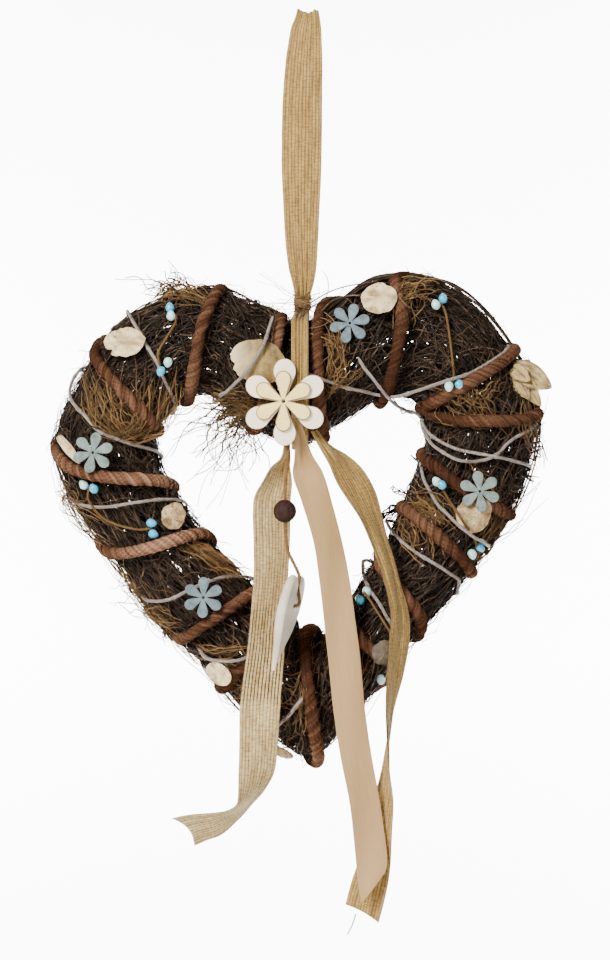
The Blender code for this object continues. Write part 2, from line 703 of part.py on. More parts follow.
def ribbon_tie():
    """Collar of fibres that pinches both strands above the cleft."""
    pinch = [row for row in LOOP_ROWS if abs(row[0] - TIED_ROW) * MM < TIE_HEIGHT]
    centre_x = sum(row[1] for row in pinch) / len(pinch) * MM
    hole_x = max(row[2] for row in pinch) * JUTE_WIDTH / 2 + 4 * TOUCH_GAP
    hole_y = max(row[3] for row in pinch) * MM + JUTE_THICKNESS + 3 * TOUCH_GAP
    top = -LOOP_LENGTH + TIE_HEIGHT / 2
    sides = 16
    profile = [(0, 0.0), (TIE_WALL, 0.14), (TIE_WALL * 1.2, 0.5), (TIE_WALL, 0.86), (0, 1.0)]
    verts = []
    for out, share in profile:
        for k in range(sides):
            a = 2 * pi * k / sides
            x = (hole_x + out) * squared(cos(a))
            y = (hole_y + out) * squared(sin(a))
            verts.append((centre_x + x, y, top - share * TIE_HEIGHT))
    faces = grid_faces(len(profile), sides, True, True)
    return solid("ribbon_tie", verts, faces, "fibre_tie", sharp=60)


# Tails

def tail(name, ribs, width, thickness, finish, bed):
    """A strip of ribbon: two faces a thickness apart over rows of slanted ribs."""
    rows = []
    for across, down, ahead, share, lean, turn in ribs:
        middle = from_knot(across, down, ahead)
        lean = radians(lean)
        turn = radians(turn)
        rib = Vector((cos(lean) * cos(turn), sin(turn), sin(lean) * cos(turn)))
        rows.append([middle + rib * (share * width * k / 2) for k in (-1, 0, 1)])
    last = len(rows) - 1
    verts = []
    for i, row in enumerate(rows):
        along = rows[min(i + 1, last)][1] - rows[max(i - 1, 0)][1]
        out = (row[-1] - row[0]).cross(along).normalized() * (thickness / 2)
        verts += [p + out for p in row] + [p - out for p in row]
    bed.add([p for row in rows for p in row], thickness)
    return solid(name, verts, strip_faces(len(rows), 3), finish, sharp=50)


def tails(bed):
    tail("jute_tail_right", JUTE_RIGHT_RIBS, JUTE_WIDTH, JUTE_THICKNESS, "jute", bed)
    tail("jute_tail_left", JUTE_LEFT_RIBS, JUTE_WIDTH, JUTE_THICKNESS, "jute", bed)
    tail("satin_tail", SATIN_RIBS, SATIN_WIDTH, SATIN_THICKNESS, "satin", bed)
    wire = [from_knot(*row) for row in WIRE_ROUTE]
    tube("ribbon_wire", wire, WIRE_DIAMETER, "steel_wire")


# Pendant

def heart_axes():
    """The hung heart's own axes: across, up and out of its face."""
    lean = radians(HEART_LEAN)
    turn = radians(HEART_TURN)
    up = Vector((sin(lean), 0, cos(lean)))
    level = Vector((cos(lean), 0, -sin(lean)))
    across = level * cos(turn) + Vector((0, 1, 0)) * sin(turn)
    return across, up, across.cross(up)


def heart_outline(points=22):
    """A long heart with its tip down, from the usual sine curve."""
    out = []
    for k in range(points):
        a = 2 * pi * (k + 0.5) / points
        x = sin(a) ** 3
        y = (13 * cos(a) - 5 * cos(2 * a) - 2 * cos(3 * a) - cos(4 * a)) / 17
        out.append((x * HEART_WIDTH / 2, (y + 0.15) * HEART_LENGTH / 1.7))
    return out


def white_heart():
    across, up, out = heart_axes()
    origin = from_knot(*PENDANT_HEART_PLACE) - out * HEART_THICKNESS / 2
    place = frame_matrix(origin, across, up, out)
    heart = plate("white_heart", heart_outline(), HEART_THICKNESS, "heart_wood", place)
    drill = bpy.data.objects.new("heart_drill", bpy.data.meshes.new("heart_drill"))
    bm = bmesh.new()
    bmesh.ops.create_cone(bm, cap_ends=True, segments=10, radius1=HEART_HOLE / 2, radius2=HEART_HOLE / 2,
                          depth=4 * HEART_THICKNESS)
    bm.to_mesh(drill.data)
    bm.free()
    drill.matrix_world = place @ Matrix.Translation((0, HEART_HOLE_UP, 0))
    drill.hide_render = True
    drill.display_type = "WIRE"
    bpy.context.collection.objects.link(drill)
    cut = heart.modifiers.new("hole", "BOOLEAN")
    cut.operation = "DIFFERENCE"
    cut.object = drill
    return place


def wooden_bead():
    """A turned bead with its bore upright."""
    centre = from_knot(*BEAD_PLACE)
    bore = BEAD_BORE / 2
    radius = BEAD_DIAMETER / 2
    edge = acos(bore / radius)
    profile = [(radius * cos(edge * k / 3), radius * sin(edge * k / 3)) for k in range(-3, 4)]
    sides = 14
    verts = []
    for r, z in profile:
        verts += [(r * cos(2 * pi * k / sides), r * sin(2 * pi * k / sides), z) for k in range(sides)]
    faces = grid_faces(len(profile), sides, True, True)
    return solid("wooden_bead", verts, faces, "bead_wood", Matrix.Translation(centre), sharp=60)


def pendant_twine(heart_place, bed):
    """Twine from the knot through the bead to the heart, in through its hole and out behind."""
    hole = HEART_HOLE_UP
    front = HEART_THICKNESS + TWINE_DIAMETER / 2 + 2 * TOUCH_GAP
    back = -TWINE_DIAMETER / 2 - 2 * TOUCH_GAP
    local = [(0, hole + 19 * MM, front + 1 * MM), (0, hole + 10 * MM, front + 0.4 * MM),
             (0, hole + 4 * MM, front + 1 * MM), (0, hole + 1.2 * MM, front + 0.9 * MM),
             (0, hole, HEART_THICKNESS), (0, hole, HEART_THICKNESS / 2), (0, hole, 0),
             (0, hole + 1.2 * MM, back - 0.9 * MM), (0, hole + 4 * MM, back - 1 * MM),
             (0, hole + 9 * MM, back - 0.6 * MM)]
    route = [tuple(from_knot(*row)) for row in TWINE_ROUTE]
    route += [tuple(heart_place @ Vector(p)) for p in local]
    line = thinned(smooth_route(route, 8), TWINE_STRAY)
    tube("pendant_twine", line, TWINE_DIAMETER, "twine")
    bed.add([p for p in line if p.z > knot().z - 20 * MM], TWINE_DIAMETER / 2)


# Flowers, slices and sprigs

def petals(span, count=6, width=0.29, waist=0.20, lobe=5):
    """Outline of a flower: round-ended petals that narrow towards the middle."""
    tip = span / 2
    radius = width * span / 2
    out = []
    for k in range(count):
        a = 2 * pi * k / count + pi / 2
        notch = a - pi / count
        out.append((waist * tip * cos(notch), waist * tip * sin(notch)))
        for j in range(lobe):
            b = radians(-105 + 210 * j / (lobe - 1))
            along = tip - radius + radius * cos(b)
            side = radius * sin(b)
            out.append((along * cos(a) - side * sin(a), along * sin(a) + side * cos(a)))
    return out


def large_flower(bed):
    place, angle, spin, facing = LARGE_FLOWER
    frame = seated(bed, place, angle, spin, facing, FLOWER_BACK_SPAN, FLOWER_BACK_SPAN, FLOWER_THICKNESS)
    plate("flower_back", petals(FLOWER_BACK_SPAN), FLOWER_THICKNESS, "flower_white", frame)
    shift = Matrix.Translation((-0.8 * MM, 0.6 * MM, FLOWER_THICKNESS + TOUCH_GAP))
    turn = Matrix.Rotation(radians(3), 4, "Z")
    plate("flower_front", petals(FLOWER_FRONT_SPAN), FLOWER_THICKNESS, "flower_cream", frame @ shift @ turn)


def small_flowers(bed):
    for name, place, angle, spin, facing, finish in SMALL_FLOWERS:
        frame = seated(bed, place, angle, spin, facing, SMALL_FLOWER_SPAN, SMALL_FLOWER_SPAN,
                       SMALL_FLOWER_THICKNESS)
        outline = petals(SMALL_FLOWER_SPAN, waist=0.24, lobe=4)
        plate(name, outline, SMALL_FLOWER_THICKNESS, finish, frame)


def slice_outline(length, width, uneven, seed, points=13):
    """A round of bark with a slightly uneven edge."""
    out = []
    for k in range(points):
        a = 2 * pi * k / points
        r = 1 - uneven + uneven * sin(2 * a + seed) * cos(3 * a + 2 * seed)
        out.append((length / 2 * r * cos(a), width / 2 * r * sin(a)))
    return out


def slices(bed, rows):
    for seed, row in enumerate(rows):
        name, place, angle, spin, facing, length, width, thickness, uneven, finish = row
        length, width, thickness = length * MM, width * MM, thickness * MM
        frame = seated(bed, place, angle, spin, facing, length, width, thickness)
        outline = slice_outline(length, width, uneven, 1.7 * seed + 0.4)
        plate(name, outline, 0.75 * thickness, finish, frame, crown=0.25 * thickness)


def pod_shell(bed):
    """An open dried pod: a star of five blunt lobes round a raised middle."""
    name, place, angle, spin, facing, length, width, thickness, finish = POD_SHELL
    length, width, thickness = length * MM, width * MM, thickness * MM
    frame = seated(bed, place, angle, spin, facing, length, width, thickness)
    outline = []
    for k in range(20):
        a = 2 * pi * k / 20
        r = 0.86 + 0.14 * cos(5 * a)
        outline.append((length / 2 * r * cos(a), width / 2 * r * sin(a)))
    plate(name, outline, 0.5 * thickness, finish, frame, crown=0.5 * thickness)


def berry(name, centre, finish):
    bm = bmesh.new()
    bmesh.ops.create_uvsphere(bm, u_segments=6, v_segments=4, radius=BERRY_DIAMETER / 2)
    mesh = bpy.data.meshes.new(name)
    bm.to_mesh(mesh)
    bm.free()
    mesh.shade_smooth()
    mesh.materials.append(material(finish))
    obj = bpy.data.objects.new(name, mesh)
    obj.location = centre
    bpy.context.collection.objects.link(obj)


def sprigs(bed):
    radius = BERRY_DIAMETER / 2
    for number, (route, fruits) in enumerate(SPRIGS, 1):
        legs = wound_line(route, STEM_DIAMETER / 2, TWIG_STRAY, bed)
        tube(f"berry_stem_{number}", legs, STEM_DIAMETER, "stem", sides=4)
        for letter, (place, angle, colour) in zip("abcd", fruits):
            foot, normal = bundle(place, angle)
            lift = float(bed.lifts([foot], [normal], radius)[0])
            centre = foot + normal * lift
            bed.add([centre], radius)
            berry(f"berry_{number}_{letter}", centre, f"berry_{colour}")


def build():
    clear_scene()
    bed = Bed()
    vine_ring()
    ropes(bed)
    slices(bed, SLICES_UNDER)
    twigs(bed)
    hanging_ribbon(bed)
    ribbon_tie()
    slices(bed, SLICES_OVER)
    pod_shell(bed)
    sprigs(bed)
    small_flowers(bed)
    tails(bed)
    place = white_heart()
    wooden_bead()
    pendant_twine(place, bed)
    large_flower(bed)


build()
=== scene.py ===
# %% [markdown]
# A heart-shaped door wreath: a bundle of thin dark vines bent into a heart, wound with paper rope
# and pale twigs, dressed with flowers, bark, berries and coir, and hung on a ribbon loop.
# The solids are already placed at their real size, so every piece below is made where its solid is.

# %% Load the frame
import json
from math import acos, cos, pi, radians, sin

import bmesh
import bpy
import numpy as np
from mathutils.kdtree import KDTree
from mathutils import Matrix, Vector


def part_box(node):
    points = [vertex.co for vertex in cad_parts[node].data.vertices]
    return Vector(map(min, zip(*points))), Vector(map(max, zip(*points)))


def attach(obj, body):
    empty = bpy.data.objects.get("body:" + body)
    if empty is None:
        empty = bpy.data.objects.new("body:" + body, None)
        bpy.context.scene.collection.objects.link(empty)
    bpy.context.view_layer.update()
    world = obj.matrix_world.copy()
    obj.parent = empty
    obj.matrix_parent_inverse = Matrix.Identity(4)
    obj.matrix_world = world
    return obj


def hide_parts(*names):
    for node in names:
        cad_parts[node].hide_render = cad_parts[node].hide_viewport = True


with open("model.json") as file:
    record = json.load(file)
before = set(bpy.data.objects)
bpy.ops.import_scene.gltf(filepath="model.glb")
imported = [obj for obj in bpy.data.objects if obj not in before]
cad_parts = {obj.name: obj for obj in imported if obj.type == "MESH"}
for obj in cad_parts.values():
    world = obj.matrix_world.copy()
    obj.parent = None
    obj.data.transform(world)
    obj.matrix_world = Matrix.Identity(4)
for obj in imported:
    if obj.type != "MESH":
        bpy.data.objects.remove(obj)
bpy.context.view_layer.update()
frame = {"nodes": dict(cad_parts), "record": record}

MM = 0.001

# %% [markdown]
# The camera looks level at the middle of the picture from far off, so the wreath shows almost
# without perspective. One pixel of the picture is 0.62 mm at the wreath, which follows from the
# ribbon's standard width of 25 mm. The lens is worked out from those two numbers.

# %% Camera
PICTURE = (610, 960)
PIXEL = 0.62 * MM
CAMERA_AWAY = 2.2
SENSOR_HEIGHT = 36
# Pixel column and row of the point where the hook bears, which is the origin
HOOK_COLUMN = 307
HOOK_ROW = 13
# From the origin to the point that the camera looks at
VIEW_ACROSS = (PICTURE[0] / 2 - HOOK_COLUMN) * PIXEL
VIEW_DOWN = (PICTURE[1] / 2 - HOOK_ROW) * PIXEL


def make_camera():
    data = bpy.data.cameras.new("camera")
    data.sensor_fit = "VERTICAL"
    data.sensor_height = SENSOR_HEIGHT
    data.lens = SENSOR_HEIGHT * CAMERA_AWAY / (PICTURE[1] * PIXEL)
    camera = bpy.data.objects.new("camera", data)
    camera.location = (VIEW_ACROSS, -CAMERA_AWAY, -VIEW_DOWN)
    camera.rotation_euler = (pi / 2, 0, 0)
    bpy.context.collection.objects.link(camera)
    bpy.context.scene.camera = camera
    return camera


def at_pixel(column, row, depth):
    """The point seen at a pixel of the picture, at a given depth behind the origin's plane."""
    nearer = (CAMERA_AWAY + depth) / CAMERA_AWAY
    across = VIEW_ACROSS + (column - PICTURE[0] / 2) * PIXEL * nearer
    down = VIEW_DOWN + (row - PICTURE[1] / 2) * PIXEL * nearer
    return (across, depth, -down)


camera = make_camera()
print("lens", round(camera.data.lens, 1), "mm")

# %% [markdown]
# Most pieces here are lines with a round section: vines, rope, twigs, twine, fibres. Blender's
# curves could do it, but there are thousands, so their tubes are computed together with numpy.
# All lines of one call have the same number of points. The frame that carries the section is
# handed on from point to point, so a tube never twists by itself.

# %% Lines and tubes
def smooth(rows, per_leg):
    """A Catmull-Rom curve through the rows, with per_leg steps for each leg."""
    rows = np.asarray(rows, float)
    ends = np.vstack([2 * rows[0] - rows[1], rows, 2 * rows[-1] - rows[-2]])
    f = (np.arange(per_leg) / per_leg)[:, None]
    out = []
    for a, b, c, d in zip(ends, ends[1:], ends[2:], ends[3:]):
        out.append(0.5 * (2 * b + (c - a) * f + (2 * a - 5 * b + 4 * c - d) * f ** 2
                          + (3 * b - a - 3 * c + d) * f ** 3))
    return np.vstack(out + [rows[-1:]])


def leg_lengths(line):
    """Length of each leg between the points of a line."""
    return np.linalg.norm(np.diff(line, axis=0), axis=1)


def run_along(line):
    """Distance from the start of a line to each of its points."""
    return np.concatenate([[0], np.cumsum(leg_lengths(line))])


def spaced(line, step):
    """The same line with points an even step apart."""
    line = np.asarray(line, float)
    run = run_along(line)
    marks = np.linspace(0, run[-1], max(2, int(run[-1] / step) + 1))
    return np.column_stack([np.interp(marks, run, line[:, k]) for k in range(line.shape[1])])


def unit(v):
    """Vectors drawn to a length of one."""
    return v / np.maximum(np.linalg.norm(v, axis=-1, keepdims=True), 1e-12)


def carried_frames(lines):
    """Two cross directions along each line, handed on without twist."""
    tangents = unit(np.gradient(lines, axis=1))
    helper = np.where(np.abs(tangents[:, :1, 1:2]) < 0.8, [0.0, 1.0, 0.0], [1.0, 0.0, 0.0])
    side = unit(np.cross(tangents[:, 0], helper[:, 0]))
    sides = [side]
    for k in range(1, lines.shape[1]):
        t = tangents[:, k]
        side = unit(side - t * (side * t).sum(-1, keepdims=True))
        sides.append(side)
    sides = np.stack(sides, axis=1)
    return sides, np.cross(tangents, sides)


def add_values(mesh, key, values):
    """Stores one number a point, which a finish reads by its name."""
    layer = mesh.attributes.new(key, "FLOAT", "POINT")
    layer.data.foreach_set("value", np.ascontiguousarray(values, np.float32).ravel())


def fill_mesh(name, verts, quads, attributes, uv=None):
    """A mesh from arrays; each attribute is one number a point."""
    mesh = bpy.data.meshes.new(name)
    mesh.vertices.add(len(verts))
    mesh.vertices.foreach_set("co", np.ascontiguousarray(verts, np.float32).ravel())
    loops = quads.ravel()
    mesh.loops.add(len(loops))
    mesh.loops.foreach_set("vertex_index", loops.astype(np.int32))
    mesh.polygons.add(len(quads))
    size = quads.shape[1]
    mesh.polygons.foreach_set("loop_start", np.arange(0, len(loops), size, dtype=np.int32))
    mesh.update(calc_edges=True)
    for key, values in attributes.items():
        add_values(mesh, key, values)
    if uv is not None:
        layer = mesh.uv_layers.new(name="cloth")
        layer.data.foreach_set("uv", uv[loops].astype(np.float32).ravel())
    mesh.shade_smooth()
    return mesh


def add_object(name, mesh, finish):
    piece = bpy.data.objects.new(name, mesh)
    bpy.context.collection.objects.link(piece)
    piece.data.materials.append(finish)
    return piece


def face_mesh(name, points, faces):
    """A mesh from points and faces of any size."""
    mesh = bpy.data.meshes.new(name)
    mesh.from_pydata(points, [], faces)
    return mesh


def band_faces(levels, sides, closed=False):
    """Quads between rings of points that lie one above the other."""
    faces = []
    for i in range(levels if closed else levels - 1):
        low, high = i * sides, (i + 1) % levels * sides
        for j in range(sides):
            after = (j + 1) % sides
            faces.append((low + j, low + after, high + after, high + j))
    return faces


def tubes(lines, radii, sides, tint, ridge=None):
    """Vertices, quads and attributes for round tubes along lines (S, n, 3)."""
    lines = np.asarray(lines, float)
    count, steps = lines.shape[:2]
    radii = np.broadcast_to(np.asarray(radii, float), (count, steps))
    u, v = carried_frames(lines)
    turn = np.arange(sides) * 2 * pi / sides
    reach = radii[:, :, None] if ridge is None else radii[:, :, None] * ridge
    around = np.cos(turn)[:, None] * u[:, :, None] + np.sin(turn)[:, None] * v[:, :, None]
    verts = (lines[:, :, None] + reach[..., None] * around).reshape(-1, 3)
    k = np.arange(count)[:, None, None] * steps * sides
    i = np.arange(steps - 1)[None, :, None] * sides
    j = np.arange(sides)[None, None, :]
    a = (k + i + j).ravel()
    b = (k + i + (j + 1) % sides).ravel()
    quads = np.column_stack([a, b, b + sides, a + sides])
    legs = np.linalg.norm(np.diff(lines, axis=1), axis=2)
    run = np.concatenate([np.zeros((count, 1)), np.cumsum(legs, axis=1)], axis=1)
    attributes = {
        "tint": np.repeat(np.broadcast_to(np.asarray(tint, float), (count,)), steps * sides),
        "run": np.repeat(run.ravel(), sides),
        "turn": np.tile(turn / (2 * pi), count * steps),
    }
    return verts, quads, attributes


def joined(parts):
    """Several tube sets as one set."""
    start = 0
    verts, quads, attributes = [], [], {"tint": [], "run": [], "turn": []}
    for v, q, a in parts:
        verts.append(v)
        quads.append(q + start)
        start += len(v)
        for key in attributes:
            attributes[key].append(a[key])
    attributes = {key: np.concatenate(rows) for key, rows in attributes.items()}
    return np.vstack(verts), np.vstack(quads), attributes


def tapered(steps, tip=0.35, share=0.2):
    """Radius along a strand: full in the middle and thinner towards both ends."""
    s = np.linspace(0, 1, steps)
    ends = np.clip(np.minimum(s, 1 - s) / share, 0, 1)
    return tip + (1 - tip) * np.sin(ends * pi / 2)


def dress(piece, slot, *nodes):
    """Ties a piece to the wreath and hides the solids that it stands for."""
    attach(piece, "root")
    if nodes:
        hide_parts(*nodes)
    return piece

# %% [markdown]
# Procedural finishes share a few effects. Each is a node group built once, with named inputs, and
# every material feeds it its own numbers. "Streaks" stretches noise along a strand, "Mottle" is
# soft blotches in space, and "Weave" draws threads crossing at right angles from the cloth's UV.

# %% Shader groups
def new_group(name, inputs, outputs):
    """A node group with numbers going in, each with its default, and numbers coming out."""
    group = bpy.data.node_groups.new(name, "ShaderNodeTree")
    for label, default in inputs.items():
        socket = group.interface.new_socket(label, in_out="INPUT", socket_type="NodeSocketFloat")
        socket.default_value = default
    for label in outputs:
        group.interface.new_socket(label, in_out="OUTPUT", socket_type="NodeSocketFloat")
    return group, group.nodes.new("NodeGroupInput"), group.nodes.new("NodeGroupOutput")


def math_node(tree, operation, a, b=None, clamp=False):
    node = tree.nodes.new("ShaderNodeMath")
    node.operation = operation
    node.use_clamp = clamp
    for socket, value in zip(node.inputs, (a, b)):
        if value is None:
            continue
        if isinstance(value, (int, float)):
            socket.default_value = value
        else:
            tree.links.new(value, socket)
    return node.outputs[0]


def noise_node(tree, vector, scale, detail=4.0, roughness=0.6):
    node = tree.nodes.new("ShaderNodeTexNoise")
    node.inputs["Detail"].default_value = detail
    node.inputs["Roughness"].default_value = roughness
    tree.links.new(vector, node.inputs["Vector"])
    if isinstance(scale, (int, float)):
        node.inputs["Scale"].default_value = scale
    else:
        tree.links.new(scale, node.inputs["Scale"])
    return node.outputs["Fac"]


def times(tree, a, b):
    return math_node(tree, "MULTIPLY", a, b)


def plus(tree, a, b):
    return math_node(tree, "ADD", a, b)


def combined(tree, *parts):
    """A vector put together from two or three numbers."""
    node = tree.nodes.new("ShaderNodeCombineXYZ")
    for part, socket in zip(parts, node.inputs):
        tree.links.new(part, socket)
    return node.outputs[0]


def stored(tree, name):
    """The number that the mesh carries under a name."""
    node = tree.nodes.new("ShaderNodeAttribute")
    node.attribute_name = name
    return node.outputs["Fac"]


def streaks_group():
    """Noise drawn out along a strand; Twist turns the streaks round it like a rope's creases."""
    group, enter, leave = new_group("Streaks", {"Around": 8.0, "Along": 60.0, "Twist": 0.0}, ["Mask", "Tint"])
    run, turn, tint = (stored(group, key) for key in ("run", "turn", "tint"))
    twisted = math_node(group, "SUBTRACT", turn, times(group, run, enter.outputs["Twist"]))
    angle = times(group, twisted, 2 * pi)
    across = times(group, math_node(group, "COSINE", angle), enter.outputs["Around"])
    depth = times(group, math_node(group, "SINE", angle), enter.outputs["Around"])
    length = plus(group, times(group, run, enter.outputs["Along"]), times(group, tint, 40.0))
    place = combined(group, across, depth, length)
    group.links.new(noise_node(group, place, 1.0), leave.inputs["Mask"])
    group.links.new(tint, leave.inputs["Tint"])
    return group


def mottle_group():
    """Soft and fine blotches in the object's own space."""
    group, enter, leave = new_group("Mottle", {"Scale": 60.0, "Fine": 600.0}, ["Soft", "Fine"])
    place = group.nodes.new("ShaderNodeTexCoord").outputs["Object"]
    group.links.new(noise_node(group, place, enter.outputs["Scale"], 5.0), leave.inputs["Soft"])
    group.links.new(noise_node(group, place, enter.outputs["Fine"], 3.0), leave.inputs["Fine"])
    return group


def weave_group():
    """Threads of a plain weave, counted a metre in each direction of the cloth."""
    group, enter, leave = new_group("Weave", {"Warp": 800.0, "Weft": 1000.0, "Uneven": 0.3},
                                    ["Warp Thread", "Weft Thread", "Height", "Slub", "Fleck"])
    uv = group.nodes.new("ShaderNodeUVMap")
    uv.uv_map = "cloth"
    split = group.nodes.new("ShaderNodeSeparateXYZ")
    group.links.new(uv.outputs[0], split.inputs[0])
    x, y = split.outputs["X"], split.outputs["Y"]
    wobble = noise_node(group, uv.outputs[0], 90.0, 2.0)
    shift = times(group, math_node(group, "SUBTRACT", wobble, 0.5), enter.outputs["Uneven"])
    threads = []
    for axis, count in ((x, "Warp"), (y, "Weft")):
        phase = plus(group, times(group, axis, enter.outputs[count]), shift)
        wave = math_node(group, "SINE", times(group, phase, pi))
        threads.append(math_node(group, "ABSOLUTE", wave))
    slub_place = combined(group, times(group, x, enter.outputs["Warp"]), times(group, y, 60.0))
    fleck_place = combined(group, times(group, x, 260.0), times(group, y, 900.0))
    values = [
        *threads,
        plus(group, times(group, threads[0], 0.7), times(group, threads[1], 0.3)),
        noise_node(group, slub_place, 0.9, 3.0),
        noise_node(group, fleck_place, 1.0, 2.0),
    ]
    for value, socket in zip(values, leave.inputs):
        group.links.new(value, socket)
    return group


STREAKS = streaks_group()
MOTTLE = mottle_group()
WEAVE = weave_group()
print("shader groups", STREAKS.name, MOTTLE.name, WEAVE.name)

# %% [markdown]
# Each finish then mixes two or three colours by those masks, sets its roughness, and bumps the
# surface a little. The helper below holds what every finish repeats: a Principled shader, a colour
# ramp fed by a mask, and a Bump node whose strength is in real height.

# %% Finish helpers
def new_finish(name, roughness, metallic=0.0):
    finish = bpy.data.materials.new(name)
    finish.use_nodes = True
    shader = finish.node_tree.nodes["Principled BSDF"]
    shader.inputs["Roughness"].default_value = roughness
    shader.inputs["Metallic"].default_value = metallic
    return finish, finish.node_tree, shader


def place_group(tree, group, **values):
    node = tree.nodes.new("ShaderNodeGroup")
    node.node_tree = group
    for key, value in values.items():
        node.inputs[key].default_value = value
    return node


def ramp(tree, mask, stops):
    node = tree.nodes.new("ShaderNodeValToRGB")
    band = node.color_ramp
    while len(band.elements) < len(stops):
        band.elements.new(0.5)
    for element, (position, colour) in zip(band.elements, stops):
        element.position = position
        element.color = (*colour, 1)
    tree.links.new(mask, node.inputs[0])
    return node.outputs["Color"]


def mix_colours(tree, share, a, b, blend="MIX"):
    node = tree.nodes.new("ShaderNodeMix")
    node.data_type = "RGBA"
    node.blend_type = blend
    sockets = [s for s in node.inputs if s.enabled]
    for socket, value in zip(sockets, (share, a, b)):
        if isinstance(value, (int, float)):
            socket.default_value = value
        elif isinstance(value, tuple):
            socket.default_value = (*value, 1)
        else:
            tree.links.new(value, socket)
    return [s for s in node.outputs if s.enabled][0]


def bump(tree, shader, height, distance, strength=1.0):
    node = tree.nodes.new("ShaderNodeBump")
    node.inputs["Strength"].default_value = strength
    node.inputs["Distance"].default_value = distance
    tree.links.new(height, node.inputs["Height"])
    tree.links.new(node.outputs["Normal"], shader.inputs["Normal"])


def streaked(name, stops, around, along, twist, roughness, relief, dark):
    """A finish for strands: a ramp over streaks, darker or lighter by each strand's own tint."""
    finish, tree, shader = new_finish(name, roughness)
    shader.inputs["Specular IOR Level"].default_value = 0.15
    streaks = place_group(tree, STREAKS, Around=around, Along=along, Twist=twist)
    colour = ramp(tree, streaks.outputs["Mask"], stops)
    shade = plus(tree, times(tree, streaks.outputs["Tint"], 1 - dark), dark)
    tree.links.new(mix_colours(tree, 1.0, colour, shade, "MULTIPLY"), shader.inputs["Base Color"])
    bump(tree, shader, streaks.outputs["Mask"], relief)
    return finish


# Name, colours of the ramp, then streaks around and along, twist, roughness, relief in metres and
# the brightness of the darkest strand
STRAND_FINISHES = [
    ("vine_bark", [(0.28, (0.003, 0.0018, 0.001)), (0.46, (0.028, 0.0155, 0.0085)),
                   (0.66, (0.27, 0.165, 0.096))], 1.5, 160, 0, 0.55, 0.0002, 0.1),
    ("brown_fibre", [(0.28, (0.02, 0.01, 0.004)), (0.5, (0.095, 0.052, 0.02)),
                     (0.75, (0.28, 0.175, 0.075))], 1.0, 90, 0, 0.6, 0.00005, 0.35),
    ("coir_fibre", [(0.25, (0.04, 0.018, 0.006)), (0.5, (0.225, 0.118, 0.04)),
                    (0.74, (0.62, 0.41, 0.18))], 1.0, 90, 0, 0.5, 0.00005, 0.22),
    ("pale_twig", [(0.28, (0.06, 0.04, 0.034)), (0.48, (0.19, 0.152, 0.126)),
                   (0.75, (0.44, 0.385, 0.33))], 2.0, 70, 0, 0.6, 0.0003, 0.75),
    ("wrapped_stem", [(0.25, (0.03, 0.014, 0.004)), (0.55, (0.105, 0.056, 0.014)),
                      (0.85, (0.21, 0.125, 0.036))], 2.0, 120, 60, 0.55, 0.0003, 0.8),
    ("jute_twine", [(0.25, (0.07, 0.032, 0.01)), (0.55, (0.205, 0.112, 0.036)),
                    (0.85, (0.39, 0.25, 0.1))], 3.0, 200, 120, 0.8, 0.0002, 0.85),
]
VINE, FIBRE, COIR, TWIG, STEM, TWINE = [streaked(*row) for row in STRAND_FINISHES]
print("strand finishes ready")

# %% [markdown]
# The bundle is bent along a heart. Its outer and inner edge are given as rows of points, with a
# smooth curve through them. Whatever lies on the bundle is placed by two numbers: how far round
# the heart it is, and how many degrees round the bundle.

# %% The ring's shape
WREATH_WIDTH = 300 * MM
FRONT_DEPTH = 30 * MM
BACK_DEPTH = 24 * MM
RING_LUMP = 1.0 * MM
LOOP_LENGTH = 178 * MM
TIE_TO_CLEFT = 13.6 * MM
# Outer and inner edge of the bundle, counterclockwise from the cleft, in thousandths of the width
HEART = [
    (6, 409, -10, 153), (-72, 448, -118, 203), (-190, 484, -188, 258), (-341, 432, -258, 223),
    (-453, 302, -283, 174), (-502, 153, -277, 116), (-440, 0, -229, 29), (-320, -161, -138, -79),
    (-184, -318, -43, -178), (-62, -444, 6, -227), (33, -506, 43, -236), (117, -405, 85, -203),
    (247, -248, 122, -136), (364, -107, 172, -52), (457, 50, 227, 54), (504, 227, 262, 165),
    (436, 372, 242, 236), (308, 490, 184, 254), (163, 498, 110, 211), (68, 442, 43, 165),
]
HEART_X = -6.2 * MM
HEART_Z = -(LOOP_LENGTH + TIE_TO_CLEFT) - HEART[0][1] / 1000 * WREATH_WIDTH
# The strands end a little higher at the bottom tip than the solid, over this share of the heart
TIP_RISE = 5 * MM
TIP_SHARE = 0.035
# Steps of the smooth edge between two given points
EDGE_STEPS = 60


def edge_table():
    """Outer and inner edge at many places round the heart."""
    around = np.array(HEART[-1:] + HEART + HEART[:2], float)
    table = smooth(around, EDGE_STEPS)[EDGE_STEPS:-EDGE_STEPS]
    table = table / 1000 * WREATH_WIDTH + [HEART_X, HEART_Z, HEART_X, HEART_Z]
    places = np.linspace(0, 1, len(table))
    table[:, 1] += TIP_RISE * np.exp(-((places - 0.5) / TIP_SHARE) ** 2)
    return places, table


PLACES, EDGES = edge_table()
MIDDLES = (EDGES[:, :2] + EDGES[:, 2:]) / 2
RING_LENGTH = float(leg_lengths(MIDDLES).sum())
print("the ring is", round(RING_LENGTH, 3), "m round")


